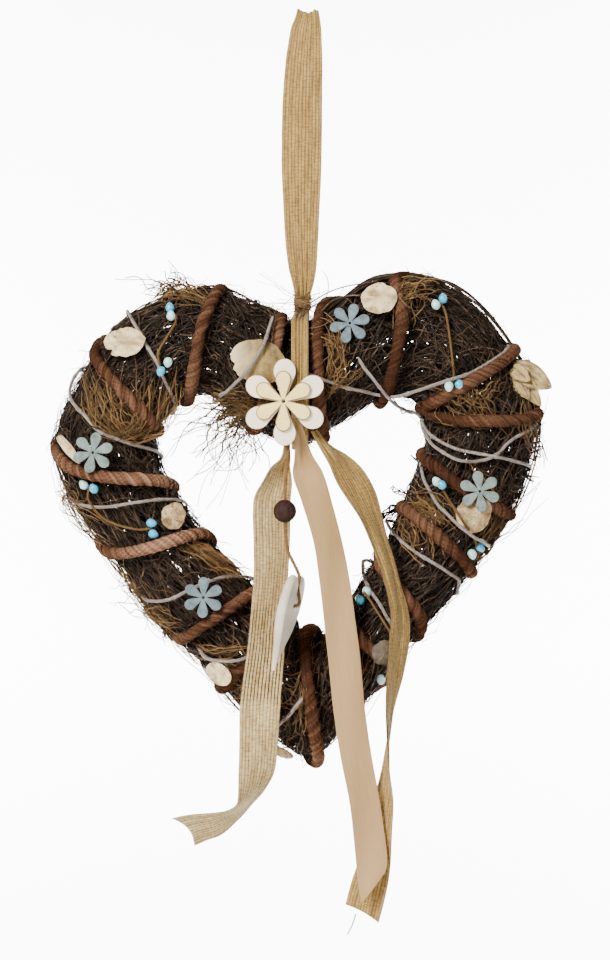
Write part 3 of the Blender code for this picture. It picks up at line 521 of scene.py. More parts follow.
def skin(place, angle, lift=0.0):
    """Points on the bundle: 0 degrees is its outer edge, 90 the front, 180 the inside."""
    place, angle, lift = np.broadcast_arrays(np.asarray(place, float), np.radians(angle), lift)
    x0, z0, x1, z1 = (np.interp(place % 1, PLACES, EDGES[:, k]) for k in range(4))
    ax, az = (x0 - x1) / 2, (z0 - z1) / 2
    size = np.hypot(ax, az)
    c, s = np.cos(angle), np.sin(angle)
    depth = np.where(s >= 0, FRONT_DEPTH, BACK_DEPTH)
    out = c / size
    back = s / depth
    scale = np.hypot(out, back)
    out, back = out / scale, back / scale
    lump = RING_LUMP * np.sin(22 * pi * place + 2 * angle) * np.sin(8 * pi * place)
    rise = lump + lift
    return np.stack([
        (x0 + x1) / 2 + ax * c + ax / size * out * rise,
        -s * depth - back * rise,
        (z0 + z1) / 2 + az * c + az / size * out * rise,
    ], axis=-1)


def seen_at(points):
    """Columns and rows of the picture at which points show."""
    nearer = (CAMERA_AWAY + points[..., 1]) / CAMERA_AWAY
    columns = PICTURE[0] / 2 + (points[..., 0] - VIEW_ACROSS) / PIXEL / nearer
    rows = PICTURE[1] / 2 + (-points[..., 2] - VIEW_DOWN) / PIXEL / nearer
    return np.stack([columns, rows], axis=-1)


FRONT_GRID = skin(np.linspace(0, 1, 700)[:, None], np.linspace(0, 180, 61)[None]).reshape(-1, 3)
FRONT_TREE = KDTree(len(FRONT_GRID))
for grid_index, grid_point in enumerate(FRONT_GRID):
    FRONT_TREE.insert((grid_point[0], 0, grid_point[2]), grid_index)
FRONT_TREE.balance()


def front_depth(columns, rows):
    """Depth of the bundle's front at columns and rows of the picture."""
    depths = np.full(np.shape(columns), -20 * MM)
    for _ in range(2):
        across, _, up = at_pixel(np.asarray(columns), np.asarray(rows), depths)
        found = [FRONT_TREE.find((x, 0, z))[1] for x, z in zip(np.ravel(across), np.ravel(up))]
        depths = FRONT_GRID[found, 1].reshape(np.shape(columns))
    return depths


# The knot of the tails, across and above the cleft's inner edge
KNOT_ACROSS = 4.9 * MM
KNOT_ABOVE = 5.7 * MM
KNOT = np.array([EDGES[0, 2] + KNOT_ACROSS, -FRONT_DEPTH, EDGES[0, 3] + KNOT_ABOVE])


def from_knot(rows):
    """Rows of across, down and ahead in mm, from where the tails start."""
    rows = np.asarray(rows, float) * MM
    return KNOT + np.stack([rows[:, 0], -rows[:, 2], rows[:, 1]], axis=-1)

# %% [markdown]
# The twine is the wreath's only free cord. It comes out of the knot under the flower, hangs
# through the bead and goes into the white heart's hole, so both its ends are held.
# Its points are the solid's own route, and three thin plies are wound round that line.

# %% Pendant twine
TWINE_DIAMETER = 2.0 * MM
TWINE_ROUTE = [
    (-6.6, 3.5, 12), (-7.0, -3, 12.5), (-7.6, -12, 13.6), (-8.3, -22, 15.6), (-8.9, -31, 18.2),
    (-9.1, -38, 19.3), (-9.1, -46, 19.3), (-9.1, -54, 19.3), (-8.4, -62, 19.8), (-7.2, -70, 20.6),
]
PENDANT_HEART_PLACE = (-9.0, -113.5, 22)
HEART_LENGTH = 60 * MM
HEART_WIDTH = 38 * MM
HEART_THICKNESS = 5 * MM
HEART_HOLE_UP = 11.4 * MM
HEART_TURN = 76
HEART_ROUND = 2.0 * MM
HEART_LEAN = 14.7


def heart_matrix():
    """The hung heart's own frame: across, up and out of its face."""
    lean, turn = radians(HEART_LEAN), radians(HEART_TURN)
    up = Vector((sin(lean), 0, cos(lean)))
    level = Vector((cos(lean), 0, -sin(lean)))
    across = level * cos(turn) + Vector((0, 1, 0)) * sin(turn)
    out = across.cross(up)
    origin = Vector(from_knot([PENDANT_HEART_PLACE])[0]) - out * HEART_THICKNESS / 2
    return Matrix.Translation(origin) @ Matrix((across, up, out)).transposed().to_4x4()


HEART_MATRIX = heart_matrix()


def twine_line():
    hole = HEART_HOLE_UP
    front = HEART_THICKNESS + TWINE_DIAMETER / 2 + 0.6 * MM
    back = -TWINE_DIAMETER / 2 - 0.6 * MM
    local = [
        (0, hole + 19 * MM, front - 3.4 * MM), (0, hole + 12 * MM, front - 2.2 * MM),
        (0, hole + 4 * MM, front + 1 * MM), (0, hole + 1.2 * MM, front + 0.9 * MM),
        (0, hole, HEART_THICKNESS), (0, hole, HEART_THICKNESS / 2), (0, hole, 0),
        (0, hole + 1.2 * MM, back - 0.9 * MM), (0, hole + 4 * MM, back - 1 * MM),
        (0, hole + 9 * MM, back - 0.6 * MM),
    ]
    rows = [*from_knot(TWINE_ROUTE), *(HEART_MATRIX @ Vector(p) for p in local)]
    return smooth(np.array([tuple(p) for p in rows]), 8)


def helix(line, offset, phase, pitch):
    """A line wound round another one, for a ply of a twisted cord."""
    u, v = carried_frames(line[None])
    a = (phase + 2 * pi * run_along(line) / pitch)[:, None]
    return line + offset * (np.cos(a) * u[0] + np.sin(a) * v[0])


TWINE_PLIES = 3
TWINE_PITCH = 6 * MM


def pendant_twine():
    line = spaced(twine_line(), 0.5 * MM)
    plies = []
    for k in range(TWINE_PLIES):
        ply = helix(line, 0.3 * TWINE_DIAMETER, k * 2 * pi / TWINE_PLIES, TWINE_PITCH)
        plies.append(tubes(ply[None], 0.28 * TWINE_DIAMETER, 6, 0.5))
    piece = add_object("twine", fill_mesh("twine", *joined(plies)), TWINE)
    dress(piece, "twine", "pendant_twine")
    length = float(leg_lengths(line).sum())
    print("twine is", round(length * 1000), "mm long")
    return piece, line, length


twine, TWINE_LINE, TWINE_LENGTH = pendant_twine()

# %% [markdown]
# The ring is several hundred vine strands bent together. A solid with a bark picture would look
# flat, so each strand is a thin tube of its own: it runs along the bundle, wanders round it and
# dips in and out. A few layers already let only specks of light through, as in the real bundle.

# %% Vines
chance = np.random.default_rng(2406)
DEGREES_A_METRE = 360 / (2 * pi * 27 * MM)


def waves(count, steps, low, high):
    """Smooth random wandering between about -1 and 1, one row a strand."""
    s = np.linspace(0, 1, steps)
    total = 0
    for share in (0.6, 0.4):
        beats = chance.uniform(low, high, (count, 1))
        total = total + share * np.sin(2 * pi * (beats * s + chance.random((count, 1))))
    return total


def courses(place, angle, length, heading, bend, kink, steps):
    """Places and degrees of strands that set out over the skin and bend as they go."""
    s = np.linspace(-0.5, 0.5, steps)
    course = heading + bend * length * s + kink * waves(len(heading), steps, 1, 5)
    along = np.cumsum(np.cos(course) * length / (steps - 1), axis=1)
    around = np.cumsum(np.sin(course) * length / (steps - 1), axis=1)
    middle = steps // 2
    along = along - along[:, middle:middle + 1]
    around = around - around[:, middle:middle + 1]
    return place + along / RING_LENGTH, angle + around * DEGREES_A_METRE


def column(low, high, count):
    return chance.uniform(low, high, (count, 1))


# Name, strands, points, shortest and longest in mm, spread of the direction in radians, bend in
# radians a metre, wobble in radians, deepest and highest lift in mm, thinnest and thickest radius
VINE_SETS = [
    ("vines_inner", 340, 24, 160, 360, 0.2, 2, 0.3, -15, -6, 0.7, 1.2),
    ("vines_along", 980, 29, 90, 300, 0.2, 4, 0.38, -6.5, -1.6, 0.3, 0.64),
    ("vines_across", 640, 24, 70, 200, 0.7, 8, 0.45, -5, -1.0, 0.26, 0.52),
    ("vines_curled", 1500, 14, 22, 80, 1.6, 34, 0.6, -4.5, 0.6, 0.22, 0.46),
    ("vines_core", 150, 20, 70, 150, 0.3, 4, 0.3, -14, -8, 0.8, 1.3, 0.8, 0.96),
]


def vine_set(count, steps, shortest, longest, spread, bend, kink, deep, high, thin, thick, first=0, last=1):
    length = column(shortest, longest, count) * MM
    heading = chance.normal(0, spread, (count, 1))
    bends = chance.normal(0, bend, (count, 1))
    place, angle = column(first, last, count), column(0, 360, count)
    place, angle = courses(place, angle, length, heading, bends, kink, steps)
    lift = (column(deep, high, count) + 1.5 * waves(count, steps, 1, 4)) * MM
    radii = column(thin, thick, count) * MM * tapered(steps)
    return tubes(skin(place, angle, lift), radii, 3, chance.random(count) ** 2.2)


def vine_piece(name, sets, *nodes):
    mesh = fill_mesh(name, *joined(sets))
    print(name, 2 * len(mesh.polygons), "triangles")
    return dress(add_object(name, mesh, VINE), "vine", *nodes)


for vine_name, *vine_values in VINE_SETS:
    replaced = ["vine_ring"] if vine_name == "vines_inner" else []
    vine_piece(vine_name, [vine_set(*vine_values)], *replaced)

# %% [markdown]
# The bundle's outline is soft: ends spring out of it, and a few long vines arch clear of the
# shoulders. Ends start under the surface and curl away; arches leave the ring and come back.

# %% Stray ends and arches
def stray_ends(count, shortest, longest, highest, thin, thick):
    """Short ends that leave the bundle and curl."""
    steps = 12
    s = np.linspace(0, 1, steps)
    length = column(shortest, longest, count) * MM
    heading = chance.uniform(-pi, pi, (count, 1))
    bends = chance.normal(0, 32, (count, 1))
    place, angle = column(0, 1, count), column(-90, 270, count)
    place, angle = courses(place, angle, length, heading, bends, 0.5, steps)
    rise = column(0.15, 1.0, count) ** 1.6 * highest
    lift = (-2 + (rise + 2) * s ** 1.3 + 0.8 * waves(count, steps, 0.5, 2) * s) * MM
    radii = column(thin, thick, count) * MM * (1 - 0.5 * s)
    return tubes(skin(place, angle, lift), radii, 3, chance.random(count) ** 1.6)


# Arches: first and last place round the heart, degrees at both ends, height of the arch in mm
ARCHES = [
    (0.985, 0.872, 38, 8, 11), (0.975, 0.862, 28, 2, 9), (0.96, 0.83, 20, 2, 8), (0.88, 0.77, 10, -4, 7),
    (0.865, 0.76, 2, 8, 9), (0.85, 0.735, 14, 0, 6), (0.99, 0.9, 60, 14, 7), (0.03, 0.11, 24, -8, 5),
    (0.755, 0.665, 4, 6, 8), (0.715, 0.655, -8, 12, 7), (0.29, 0.24, 2, -6, 6), (0.44, 0.39, 6, -4, 5),
]
ARCH_STRANDS = 2


def arches():
    steps = 26
    s = np.linspace(0, 1, steps)
    lines = []
    for first, last, start, end, height in ARCHES:
        for _ in range(ARCH_STRANDS):
            lean = chance.uniform(-7, 7)
            lift = (0.45 * height * chance.uniform(0.6, 1.1) * np.sin(pi * s) - 1.5) * MM
            angle = start + (end - start) * s + lean * np.sin(pi * s)
            lines.append(skin(first + (last - first) * s, angle, lift))
    radii = chance.uniform(0.45 * MM, 0.75 * MM, (len(lines), 1)) * tapered(steps, 0.5)
    return tubes(np.array(lines), radii, 4, chance.uniform(0.1, 0.6, len(lines)))


short_ends = stray_ends(760, 8, 30, 8, 0.25, 0.52)
long_ends = stray_ends(200, 12, 34, 9, 0.26, 0.42)
vine_piece("vine_ends", [short_ends, long_ends, arches()])

# %% [markdown]
# The paper rope, the twigs and the stems were laid out as solids that climb over what they cross.
# Their centre lines are read back from those solids, ring of corners by ring of corners, starting
# at an end cap. A smooth curve through them then carries the fine surface.

# %% Centre lines of the wound solids
def corner_graph(node):
    """Merged corners of a solid, the triangles between them and each corner's neighbours."""
    mesh = frame["nodes"][node].data
    mesh.calc_loop_triangles()
    seen, corners, index = {}, [], []
    for vertex in mesh.vertices:
        key = tuple(round(c * 2e5) for c in vertex.co)
        if key not in seen:
            seen[key] = len(corners)
            corners.append(np.array(vertex.co))
        index.append(seen[key])
    faces = [tuple(index[i] for i in t.vertices) for t in mesh.loop_triangles]
    near = [set() for _ in corners]
    for face in faces:
        for a in face:
            near[a].update(face)
    return np.array(corners), faces, near


def end_cap(corners, faces, sides, diameter):
    """The flat group of corners that closes one end."""
    normals = [unit(np.cross(corners[b] - corners[a], corners[c] - corners[a])) for a, b, c in faces]
    by_corner = {}
    for k, face in enumerate(faces):
        for a in face:
            by_corner.setdefault(a, []).append(k)
    for k, face in enumerate(faces):
        group, todo = {k}, [k]
        while todo:
            here = todo.pop()
            for other in {o for a in faces[here] for o in by_corner[a]}:
                shared = len(set(faces[here]) & set(faces[other]))
                if other not in group and shared == 2 and normals[other] @ normals[here] > 0.99999:
                    group.add(other)
                    todo.append(other)
        ring = {a for g in group for a in faces[g]}
        spots = corners[sorted(ring)]
        width = np.linalg.norm(spots[:, None] - spots[None], axis=2).max()
        if len(ring) == sides and width < 1.04 * diameter:
            return ring
    raise ValueError("no end cap found")


def centre_line(node, sides, diameter):
    """Middle of each ring of corners, from one end of the solid to the other."""
    corners, faces, near = corner_graph(node)
    ring = end_cap(corners, faces, sides, diameter)
    done = set()
    line = []
    while ring:
        line.append(corners[sorted(ring)].mean(axis=0))
        done |= ring
        ring = {b for a in ring for b in near[a]} - done
    return np.array(line)


def steered(line, passes, lift):
    """The line led through the columns and rows of the picture that each pass lists."""
    line = line.copy()
    run = run_along(line)
    front = line[:, 1] < 4 * MM
    window, blend = (0.8, 26 * MM) if len(passes) > 1 else (2.0, 45 * MM)
    for marks in passes:
        marks = smooth(np.array(marks, float), 10)
        way = run_along(marks)
        seen = seen_at(line)

        def nearest(spot, allowed):
            return int(np.argmin(np.hypot(*(seen - spot).T) + 1e4 * ~allowed))

        middle = nearest(marks[len(marks) // 2], front)
        close = front & (np.abs(run - run[middle]) < window * way[-1] * PIXEL)
        a, b = nearest(marks[0], close), nearest(marks[-1], close)
        if a > b:
            a, b, marks = b, a, marks[::-1]
            way = way[-1] - way[::-1]
        share = (run[a:b + 1] - run[a]) / (run[b] - run[a]) * way[-1]
        columns, rows = np.interp(share, way, marks[:, 0]), np.interp(share, way, marks[:, 1])
        depths = np.minimum(line[a:b + 1, 1], front_depth(columns, rows) - lift)
        depths = np.convolve(np.pad(depths, 3, "edge"), np.ones(7) / 7, "valid")
        goal = np.stack(at_pixel(columns, rows, depths), axis=-1)
        fade = np.exp(-((run[:a] - run[a]) / blend) ** 2)[:, None]
        line[:a] += (goal[0] - line[a]) * fade
        fade = np.exp(-((run[b + 1:] - run[b]) / blend) ** 2)[:, None]
        line[b + 1:] += (goal[-1] - line[b]) * fade
        line[a:b + 1] = goal
    return line


def cut_off(line, spot):
    """The line without the end that shows beyond a spot of the picture."""
    k = int(np.argmin(np.hypot(*(seen_at(line) - spot).T) + 1e4 * (line[:, 1] > 0)))
    return line[:k + 1] if k > len(line) / 2 else line[k:]


# Where the picture shows an end of a wound piece, or hides the rest of it
CUTS = {"paper_rope_short": (423, 405), "white_twig_cleft": (272, 317), "white_twig_right": (396, 636)}

# %% [markdown]
# The rope is paper twisted into creases, so its section is a ring of three soft ridges that turns
# as it runs. Some windings are twisted tighter than others, which a slow noise along it gives.

# %% Paper rope
ROPE_DIAMETER = 8 * MM
ROPE_PITCH = 15 * MM
ROPE_PLIES = 3
ROPE_SIDES = 24
ROPE_STEP = 1.3 * MM
# How far the vines let the rope sink in at the bundle's edges
ROPE_SINK = 6.5 * MM


def crumple(count, size):
    """Slow random values along a line, from 0 to 1."""
    knots = chance.random(max(3, int(count * size)) + 3)
    return np.interp(np.linspace(0, len(knots) - 1, count), np.arange(len(knots)), knots)


def sunk(line, depth):
    """The line pulled towards the bundle's middle where it passes the bundle's edges."""
    out = line.copy()
    for k, point in enumerate(line):
        flat = point[[0, 2]]
        nearest = np.argmin(((MIDDLES - flat) ** 2).sum(axis=1))
        away = flat - MIDDLES[nearest]
        half = np.hypot(*(EDGES[nearest, :2] - EDGES[nearest, 2:])) / 2
        share = min(1, np.hypot(*away) / (half + ROPE_DIAMETER / 2))
        out[k, [0, 2]] -= away / max(np.hypot(*away), 1e-6) * depth * share ** 3
    return out


def rope_finish():
    """Waxed paper, by the tint the mesh carries: painted shade in the creases, a painted copper highlight on
    the ridges.
    """
    finish, tree, shader = new_finish("twisted_paper", 0.45)
    shader.inputs["Specular IOR Level"].default_value = 0.0
    streaks = place_group(tree, STREAKS, Around=3.5, Along=60, Twist=1 / ROPE_PITCH)
    share = plus(tree, times(tree, streaks.outputs["Tint"], 0.7), times(tree, streaks.outputs["Mask"], 0.5))
    # Low values are the painted shade of the creases; the top stop is copper paper brightened into a painted
    # highlight.
    colour = ramp(tree, share, [(0.26, (0.006, 0.0025, 0.0015)), (0.44, (0.045, 0.019, 0.01)),
                                (0.6, (0.15, 0.072, 0.038)), (0.8, (0.44, 0.26, 0.16))])
    tree.links.new(colour, shader.inputs["Base Color"])
    bump(tree, shader, streaks.outputs["Mask"], 0.0006)
    return finish


ROPE = rope_finish()

# Columns and rows of the picture that some windings pass through
ROPE_PASSES = {
    "paper_rope": [
        [(420, 408), (432, 414), (445, 418), (462, 421), (480, 421), (500, 421), (515, 420), (528, 418),
         (538, 414)],
        [(304, 636), (305, 650), (306, 668), (309, 690), (312, 712), (315, 735), (318, 752)],
        [(215, 295), (211, 303), (207, 312), (201, 328), (197, 348), (194, 370), (191, 388), (189, 399)],
    ],
    "paper_rope_short": [
        [(515, 350), (508, 357), (496, 366), (480, 376), (462, 387), (445, 396), (434, 402), (424, 406)],
    ],
}


def paper_rope(node):
    line = sunk(smooth(centre_line(node, 6, ROPE_DIAMETER), 6), ROPE_SINK)
    line = spaced(steered(spaced(line, ROPE_STEP), ROPE_PASSES[node], 2 * MM), ROPE_STEP)
    if node in CUTS:
        line = cut_off(line, CUTS[node])
    steps = len(line)
    run = np.arange(steps) * ROPE_STEP
    turn = np.arange(ROPE_SIDES) * 2 * pi / ROPE_SIDES
    phase = turn[None] - 2 * pi * (run / ROPE_PITCH + 1.6 * crumple(steps, 0.02))[:, None]
    tightness = crumple(steps, 0.03)[:, None]
    ridges = np.abs(np.sin(ROPE_PLIES / 2 * phase + 0.9 * crumple(steps, 0.12)[:, None])) ** 0.6
    folds = 0
    for count in (2, 5, 8):
        wander = 10 * crumple(steps, 0.04)[:, None]
        folds = folds + np.sin(count * phase + wander) * crumple(steps, 0.08)[:, None]
    depth = 0.04 + 0.17 * tightness
    shape = (1 - depth + depth * ridges + 0.075 * folds) * (0.82 + 0.26 * crumple(steps, 0.1)[:, None])
    ends = np.clip(np.minimum(run, run[-1] - run) / (2.5 * MM), 0.05, 1) ** 0.5
    parts = tubes(line[None], 0.5 * ROPE_DIAMETER * ends, ROPE_SIDES, 0.5, shape[None])
    tone_and_painted_side_light = 0.3 + 0.85 * crumple(steps, 0.05)[:, None]
    # Painted light: besides a random tone along it, the rope is made lighter towards the left and darker
    # towards the right, as if lit from the left.
    tone_and_painted_side_light = tone_and_painted_side_light * np.interp(line[:, 0], [-90 * MM, 20 * MM], [1.12, 0.76])[:, None]
    # Painted shade and highlight: the tint is lower in the creases and higher on the ridges.
    tint = (0.29 + 0.2 * ridges * (0.3 + 0.7 * tightness) + 0.13 * folds) * tone_and_painted_side_light + 0.11
    parts[2]["tint"] = np.clip(tint, 0, 1)
    piece = add_object(node + "_twist", fill_mesh(node, *parts), ROPE)
    print(node, round(run[-1], 2), "m of rope")
    return dress(piece, "paper_rope", node)


for rope_node in ("paper_rope", "paper_rope_short"):
    paper_rope(rope_node)

# %% [markdown]
# The pale twigs are not quite straight: they kink a little and thicken at their knots. The
# stems of the sprigs are wound with tape, which shows as fine rings.

# %% Twigs and stems
TWIG_DIAMETER = 2.6 * MM
TWIG_SINK = 3.5 * MM
TWIG_STEP = 1.6 * MM
TWIG_SIDES = 9
STEM_DIAMETER = 2.6 * MM
STEM_STEP = 0.8 * MM
TWIG_NODES = [f"white_twig_{name}" for name in ("left", "tip", "cleft", "top", "corner", "crossing", "right")]
STEM_NODES = [f"berry_stem_{k}" for k in range(1, 6)]

# Columns and rows of the picture that some twigs pass through
TWIG_PASSES = {
    "white_twig_left": [
        [(128, 311), (135, 325), (145, 343), (155, 360), (163, 378), (170, 392), (175, 405)],
        [(79, 371), (73, 380), (70, 393), (75, 405), (86, 418), (97, 430), (110, 437), (130, 444),
         (155, 451)],
        [(148, 601), (160, 601), (175, 597), (190, 590), (205, 583), (222, 578), (240, 576), (252, 578)],
        [(200, 650), (204, 656), (211, 660), (225, 661), (238, 660), (250, 656)],
    ],
    "white_twig_cleft": [
        [(273, 316), (271, 322), (267, 335), (262, 347), (255, 360), (245, 374), (235, 384), (227, 392)],
    ],
    "white_twig_top": [
        [(298, 370), (320, 379), (340, 386), (360, 391), (380, 396), (395, 397), (410, 393), (430, 386),
         (452, 379), (470, 373), (490, 362), (503, 353), (509, 346)],
    ],
    "white_twig_corner": [
        [(364, 368), (372, 378), (382, 391), (392, 402), (404, 410), (415, 413), (421, 418), (424, 427),
         (430, 434), (440, 441), (455, 448), (470, 452), (490, 456), (505, 459), (520, 463)],
    ],
    "white_twig_crossing": [
        [(421, 416), (423, 430), (430, 442), (441, 451), (457, 460), (472, 462), (488, 459), (500, 452),
         (506, 445), (515, 438), (526, 432), (536, 424)],
    ],
    "white_twig_right": [
        [(419, 457), (421, 464), (424, 480), (430, 492), (440, 507), (452, 519), (465, 530), (475, 538),
         (482, 541)],
        [(386, 522), (391, 530), (400, 540), (410, 548), (420, 555), (440, 567), (450, 574), (458, 579)],
        [(363, 562), (364, 575), (370, 590), (380, 605), (387, 618)],
    ],
}


def knotted(line, every, rise):
    """Radius factor with a soft bulge at each knot."""
    run = run_along(line)
    factor = 1 + 0.12 * (crumple(len(line), 0.2) - 0.5)
    spot = chance.uniform(0.3, 1) * every
    while spot < run[-1]:
        factor += rise * np.exp(-((run - spot) / (1.3 * MM)) ** 2)
        spot += chance.uniform(0.6, 1.5) * every
    return factor


def twig(node):
    line = sunk(spaced(smooth(centre_line(node, 4, TWIG_DIAMETER), 8), TWIG_STEP), TWIG_SINK)
    line = spaced(steered(line, TWIG_PASSES.get(node, []), 1.2 * MM), TWIG_STEP)
    if node in CUTS:
        line = cut_off(line, CUTS[node])
    kinks = np.column_stack([crumple(len(line), 0.12) for _ in range(3)]) - 0.5
    line = line + 0.7 * MM * kinks
    radii = 0.41 * TWIG_DIAMETER * knotted(line, 34 * MM, 0.4) * tapered(len(line), 0.5, 0.02)
    parts = tubes(line[None], radii[None], TWIG_SIDES, 1.0)
    parts[2]["tint"] = np.repeat(0.45 + 0.55 * crumple(len(line), 0.08), TWIG_SIDES)
    piece = add_object(node + "_bark", fill_mesh(node, *parts), TWIG)
    return dress(piece, "white_twig", node)


# Where each berry shows in the picture; two share an end of a sprig
BERRY_SPOTS = {
    "berry_1_a": (170, 308), "berry_1_b": (171, 316), "berry_1_c": (168, 362), "berry_1_d": (161, 371),
    "berry_2_a": (443, 299), "berry_2_b": (436, 305), "berry_2_c": (449, 386), "berry_2_d": (459, 384, 6),
    "berry_3_a": (84, 485), "berry_3_b": (94, 489), "berry_3_c": (153, 534), "berry_3_d": (151, 523),
    "berry_4_a": (437, 482), "berry_4_b": (442, 485), "berry_4_c": (480, 547), "berry_4_d": (472, 554),
    "berry_5_a": (360, 600), "berry_5_b": (367, 592), "berry_5_c": (381, 679),
}
# Columns and rows of the picture that two stems pass through
STEM_PASSES = {
    "berry_stem_1": [[(176, 322), (170, 332), (163, 343), (158, 354), (160, 366)]],
    "berry_stem_4": [[(442, 488), (449, 500), (457, 512), (466, 526), (474, 538), (477, 547)]],
}


def berry_point(node):
    low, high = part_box(node)
    column_row, nearer = BERRY_SPOTS[node][:2], sum(BERRY_SPOTS[node][2:]) * MM
    return np.array(at_pixel(*column_row, (low[1] + high[1]) / 2 - nearer))


def stem(node):
    """A stem drawn out at both ends to the berries that it carries."""
    line = centre_line(node, 4, STEM_DIAMETER)
    number = node.split("_")[-1]
    ends = []
    for pair in ("ab", "cd"):
        names = [name for name in BERRY_SPOTS if name[6] == number and name[8] in pair]
        ends.append(np.mean([berry_point(name) for name in names], axis=0) + [0, 1.5 * MM, 0])
    first, last = ends
    if np.linalg.norm(line[0] - first) > np.linalg.norm(line[-1] - first):
        line = line[::-1]
    line = spaced(smooth(np.vstack([first, line[::2], last]), 8), STEM_STEP)
    line = spaced(steered(line, STEM_PASSES.get(node, []), 1.2 * MM), STEM_STEP)
    rings = 1 + 0.07 * np.sin(np.arange(len(line)) * 2.4)
    radii = 0.3 * STEM_DIAMETER * rings * tapered(len(line), 0.6, 0.05)
    parts = tubes(line[None], radii[None], TWIG_SIDES, 0.8)
    piece = add_object(node + "_wrap", fill_mesh(node, *parts), STEM)
    return dress(piece, "stem", node)


for twig_node in TWIG_NODES:
    twig(twig_node)
for stem_node in STEM_NODES:
    stem(stem_node)
print(len(TWIG_NODES), "twigs and", len(STEM_NODES), "stems")

# %% [markdown]
# Coir is the golden fibre tucked between the vines. A tuft is a nest of thin arcs that bend in
# the surface and hump over it. Each fibre's course is worked out in the ring's own two
# directions, along it and round it, so the nest wraps the bundle like a real one.

# %% Coir tufts
# Place, degrees, length along the ring and round it in mm, main direction in degrees, fibres
TUFTS = [
    (0.29, 2, 16, 26, 50, 60), (0.3545, 2, 34, 24, 0, 80), (0.481, 100, 18, 44, 80, 40),
    (0.414, 53, 16, 26, 40, 40), (0.985, 60, 20, 30, 80, 60), (0.56, 60, 30, 40, 30, 20),
    (0.44, 80, 26, 40, 30, 24),
]
# In the picture's columns and rows: foot and its spread, tip and its spread, bow to the left of the
# way and its spread; then lowest and highest hump in mm and the number of fibres
SWEEPS = [
    ((128, 436), (13, 3), (98, 380), (9, 12), 8, 6, 1, 6, 44),
    ((126, 436), (12, 3), (150, 386), (12, 13), -8, 6, 2, 9, 46),
    ((136, 436), (8, 3), (172, 380), (7, 8), -10, 5, 1, 5, 30),
    ((118, 438), (8, 2), (85, 378), (4, 5), 12, 3, 2, 6, 16),
    ((125, 424), (17, 7), (128, 388), (22, 12), 0, 8, 0, 8, 40),
    ((115, 432), (12, 4), (150, 430), (8, 4), -6, 3, 1, 4, 16),
    ((161, 297), (8, 4), (206, 299), (7, 5), 9, 5, 1, 6, 56),
    ((184, 292), (9, 4), (152, 289), (8, 5), -6, 5, 1, 6, 30),
    ((332, 336), (4, 4), (335, 384), (7, 9), 0, 5, 2, 7, 45),
    ((345, 345), (4, 4), (322, 384), (5, 8), 0, 5, 2, 7, 16),
    ((330, 380), (4, 4), (362, 368), (4, 4), -6, 4, 2, 6, 14),
    ((345, 360), (3, 3), (322, 404), (4, 4), 4, 3, 2, 5, 8),
    ((312, 342), (4, 6), (346, 352), (3, 4), 5, 3, 3, 8, 10),
    ((252, 408), (4, 8), (216, 398), (7, 6), 0, 4, 0, 5, 80),
    ((255, 415), (4, 8), (222, 420), (6, 6), 0, 4, 0, 4, 50),
    ((397, 296), (6, 6), (429, 290), (8, 9), 4, 5, 7, 11, 50),
    ((406, 286), (5, 4), (402, 318), (8, 7), 0, 7, 5, 10, 30),
    ((442, 399), (10, 5), (472, 408), (15, 9), 0, 9, 4, 9, 45),
    ((455, 388), (8, 6), (484, 420), (11, 8), 0, 8, 4, 9, 30),
    ((485, 395), (4, 4), (518, 430), (5, 5), -6, 3, 3, 6, 6),
    ((478, 398), (4, 4), (500, 382), (5, 4), 0, 3, 2, 5, 10),
    ((526, 402), (3, 6), (538, 462), (5, 14), -6, 6, 1, 4, 16),
    ((520, 412), (4, 4), (534, 440), (5, 6), 5, 5, 1, 4, 12),
    ((410, 502), (6, 9), (444, 524), (10, 8), 6, 8, 1, 5, 60),
    ((405, 512), (6, 8), (420, 548), (11, 9), 0, 9, 1, 5, 44),
    ((474, 562), (4, 4), (505, 520), (7, 8), 0, 4, 1, 4, 46),
    ((480, 550), (4, 4), (534, 500), (8, 12), 0, 5, 1, 4, 14),
    ((188, 543), (6, 3), (236, 573), (8, 5), 0, 3, 1, 4, 70),
    ((150, 605), (4, 3), (172, 622), (5, 3), 0, 3, 1, 4, 26),
    ((190, 642), (5, 3), (245, 647), (5, 3), -9, 3, 1, 4, 26),
    ((470, 470), (5, 5), (505, 505), (4, 5), 4, 4, 0, 2, 5),
]
# The same for dark ends of vine
DARK_SWEEPS = [
    ((522, 458), (3, 3), (543, 456), (4, 6), 7, 7, 1, 3, 9),
    ((526, 462), (3, 3), (534, 478), (5, 4), -6, 5, 1, 3, 6),
    ((385, 520), (3, 3), (402, 509), (3, 3), 5, 4, 1, 3, 12),
    ((421, 468), (2, 2), (412, 456), (1, 1), 0, 2, 1, 2, 3),
    ((508, 488), (2, 2), (524, 488), (1, 1), 0, 1, 1, 2, 2),
    ((405, 495), (2, 2), (392, 488), (2, 1), 0, 2, 1, 2, 3),
    ((165, 622), (2, 2), (166, 639), (2, 1), 0, 2, 1, 2, 3),
    ((208, 658), (2, 2), (186, 649), (2, 2), 0, 3, 1, 2, 7),
    ((394, 399), (2, 1), (417, 412), (2, 1), -7, 2, 1, 2, 2),
    ((420, 396), (2, 2), (425, 412), (2, 2), 7, 2, 1, 2, 3),
    ((170, 510), (2, 3), (178, 484), (2, 2), 3, 2, 1, 2, 3),
]


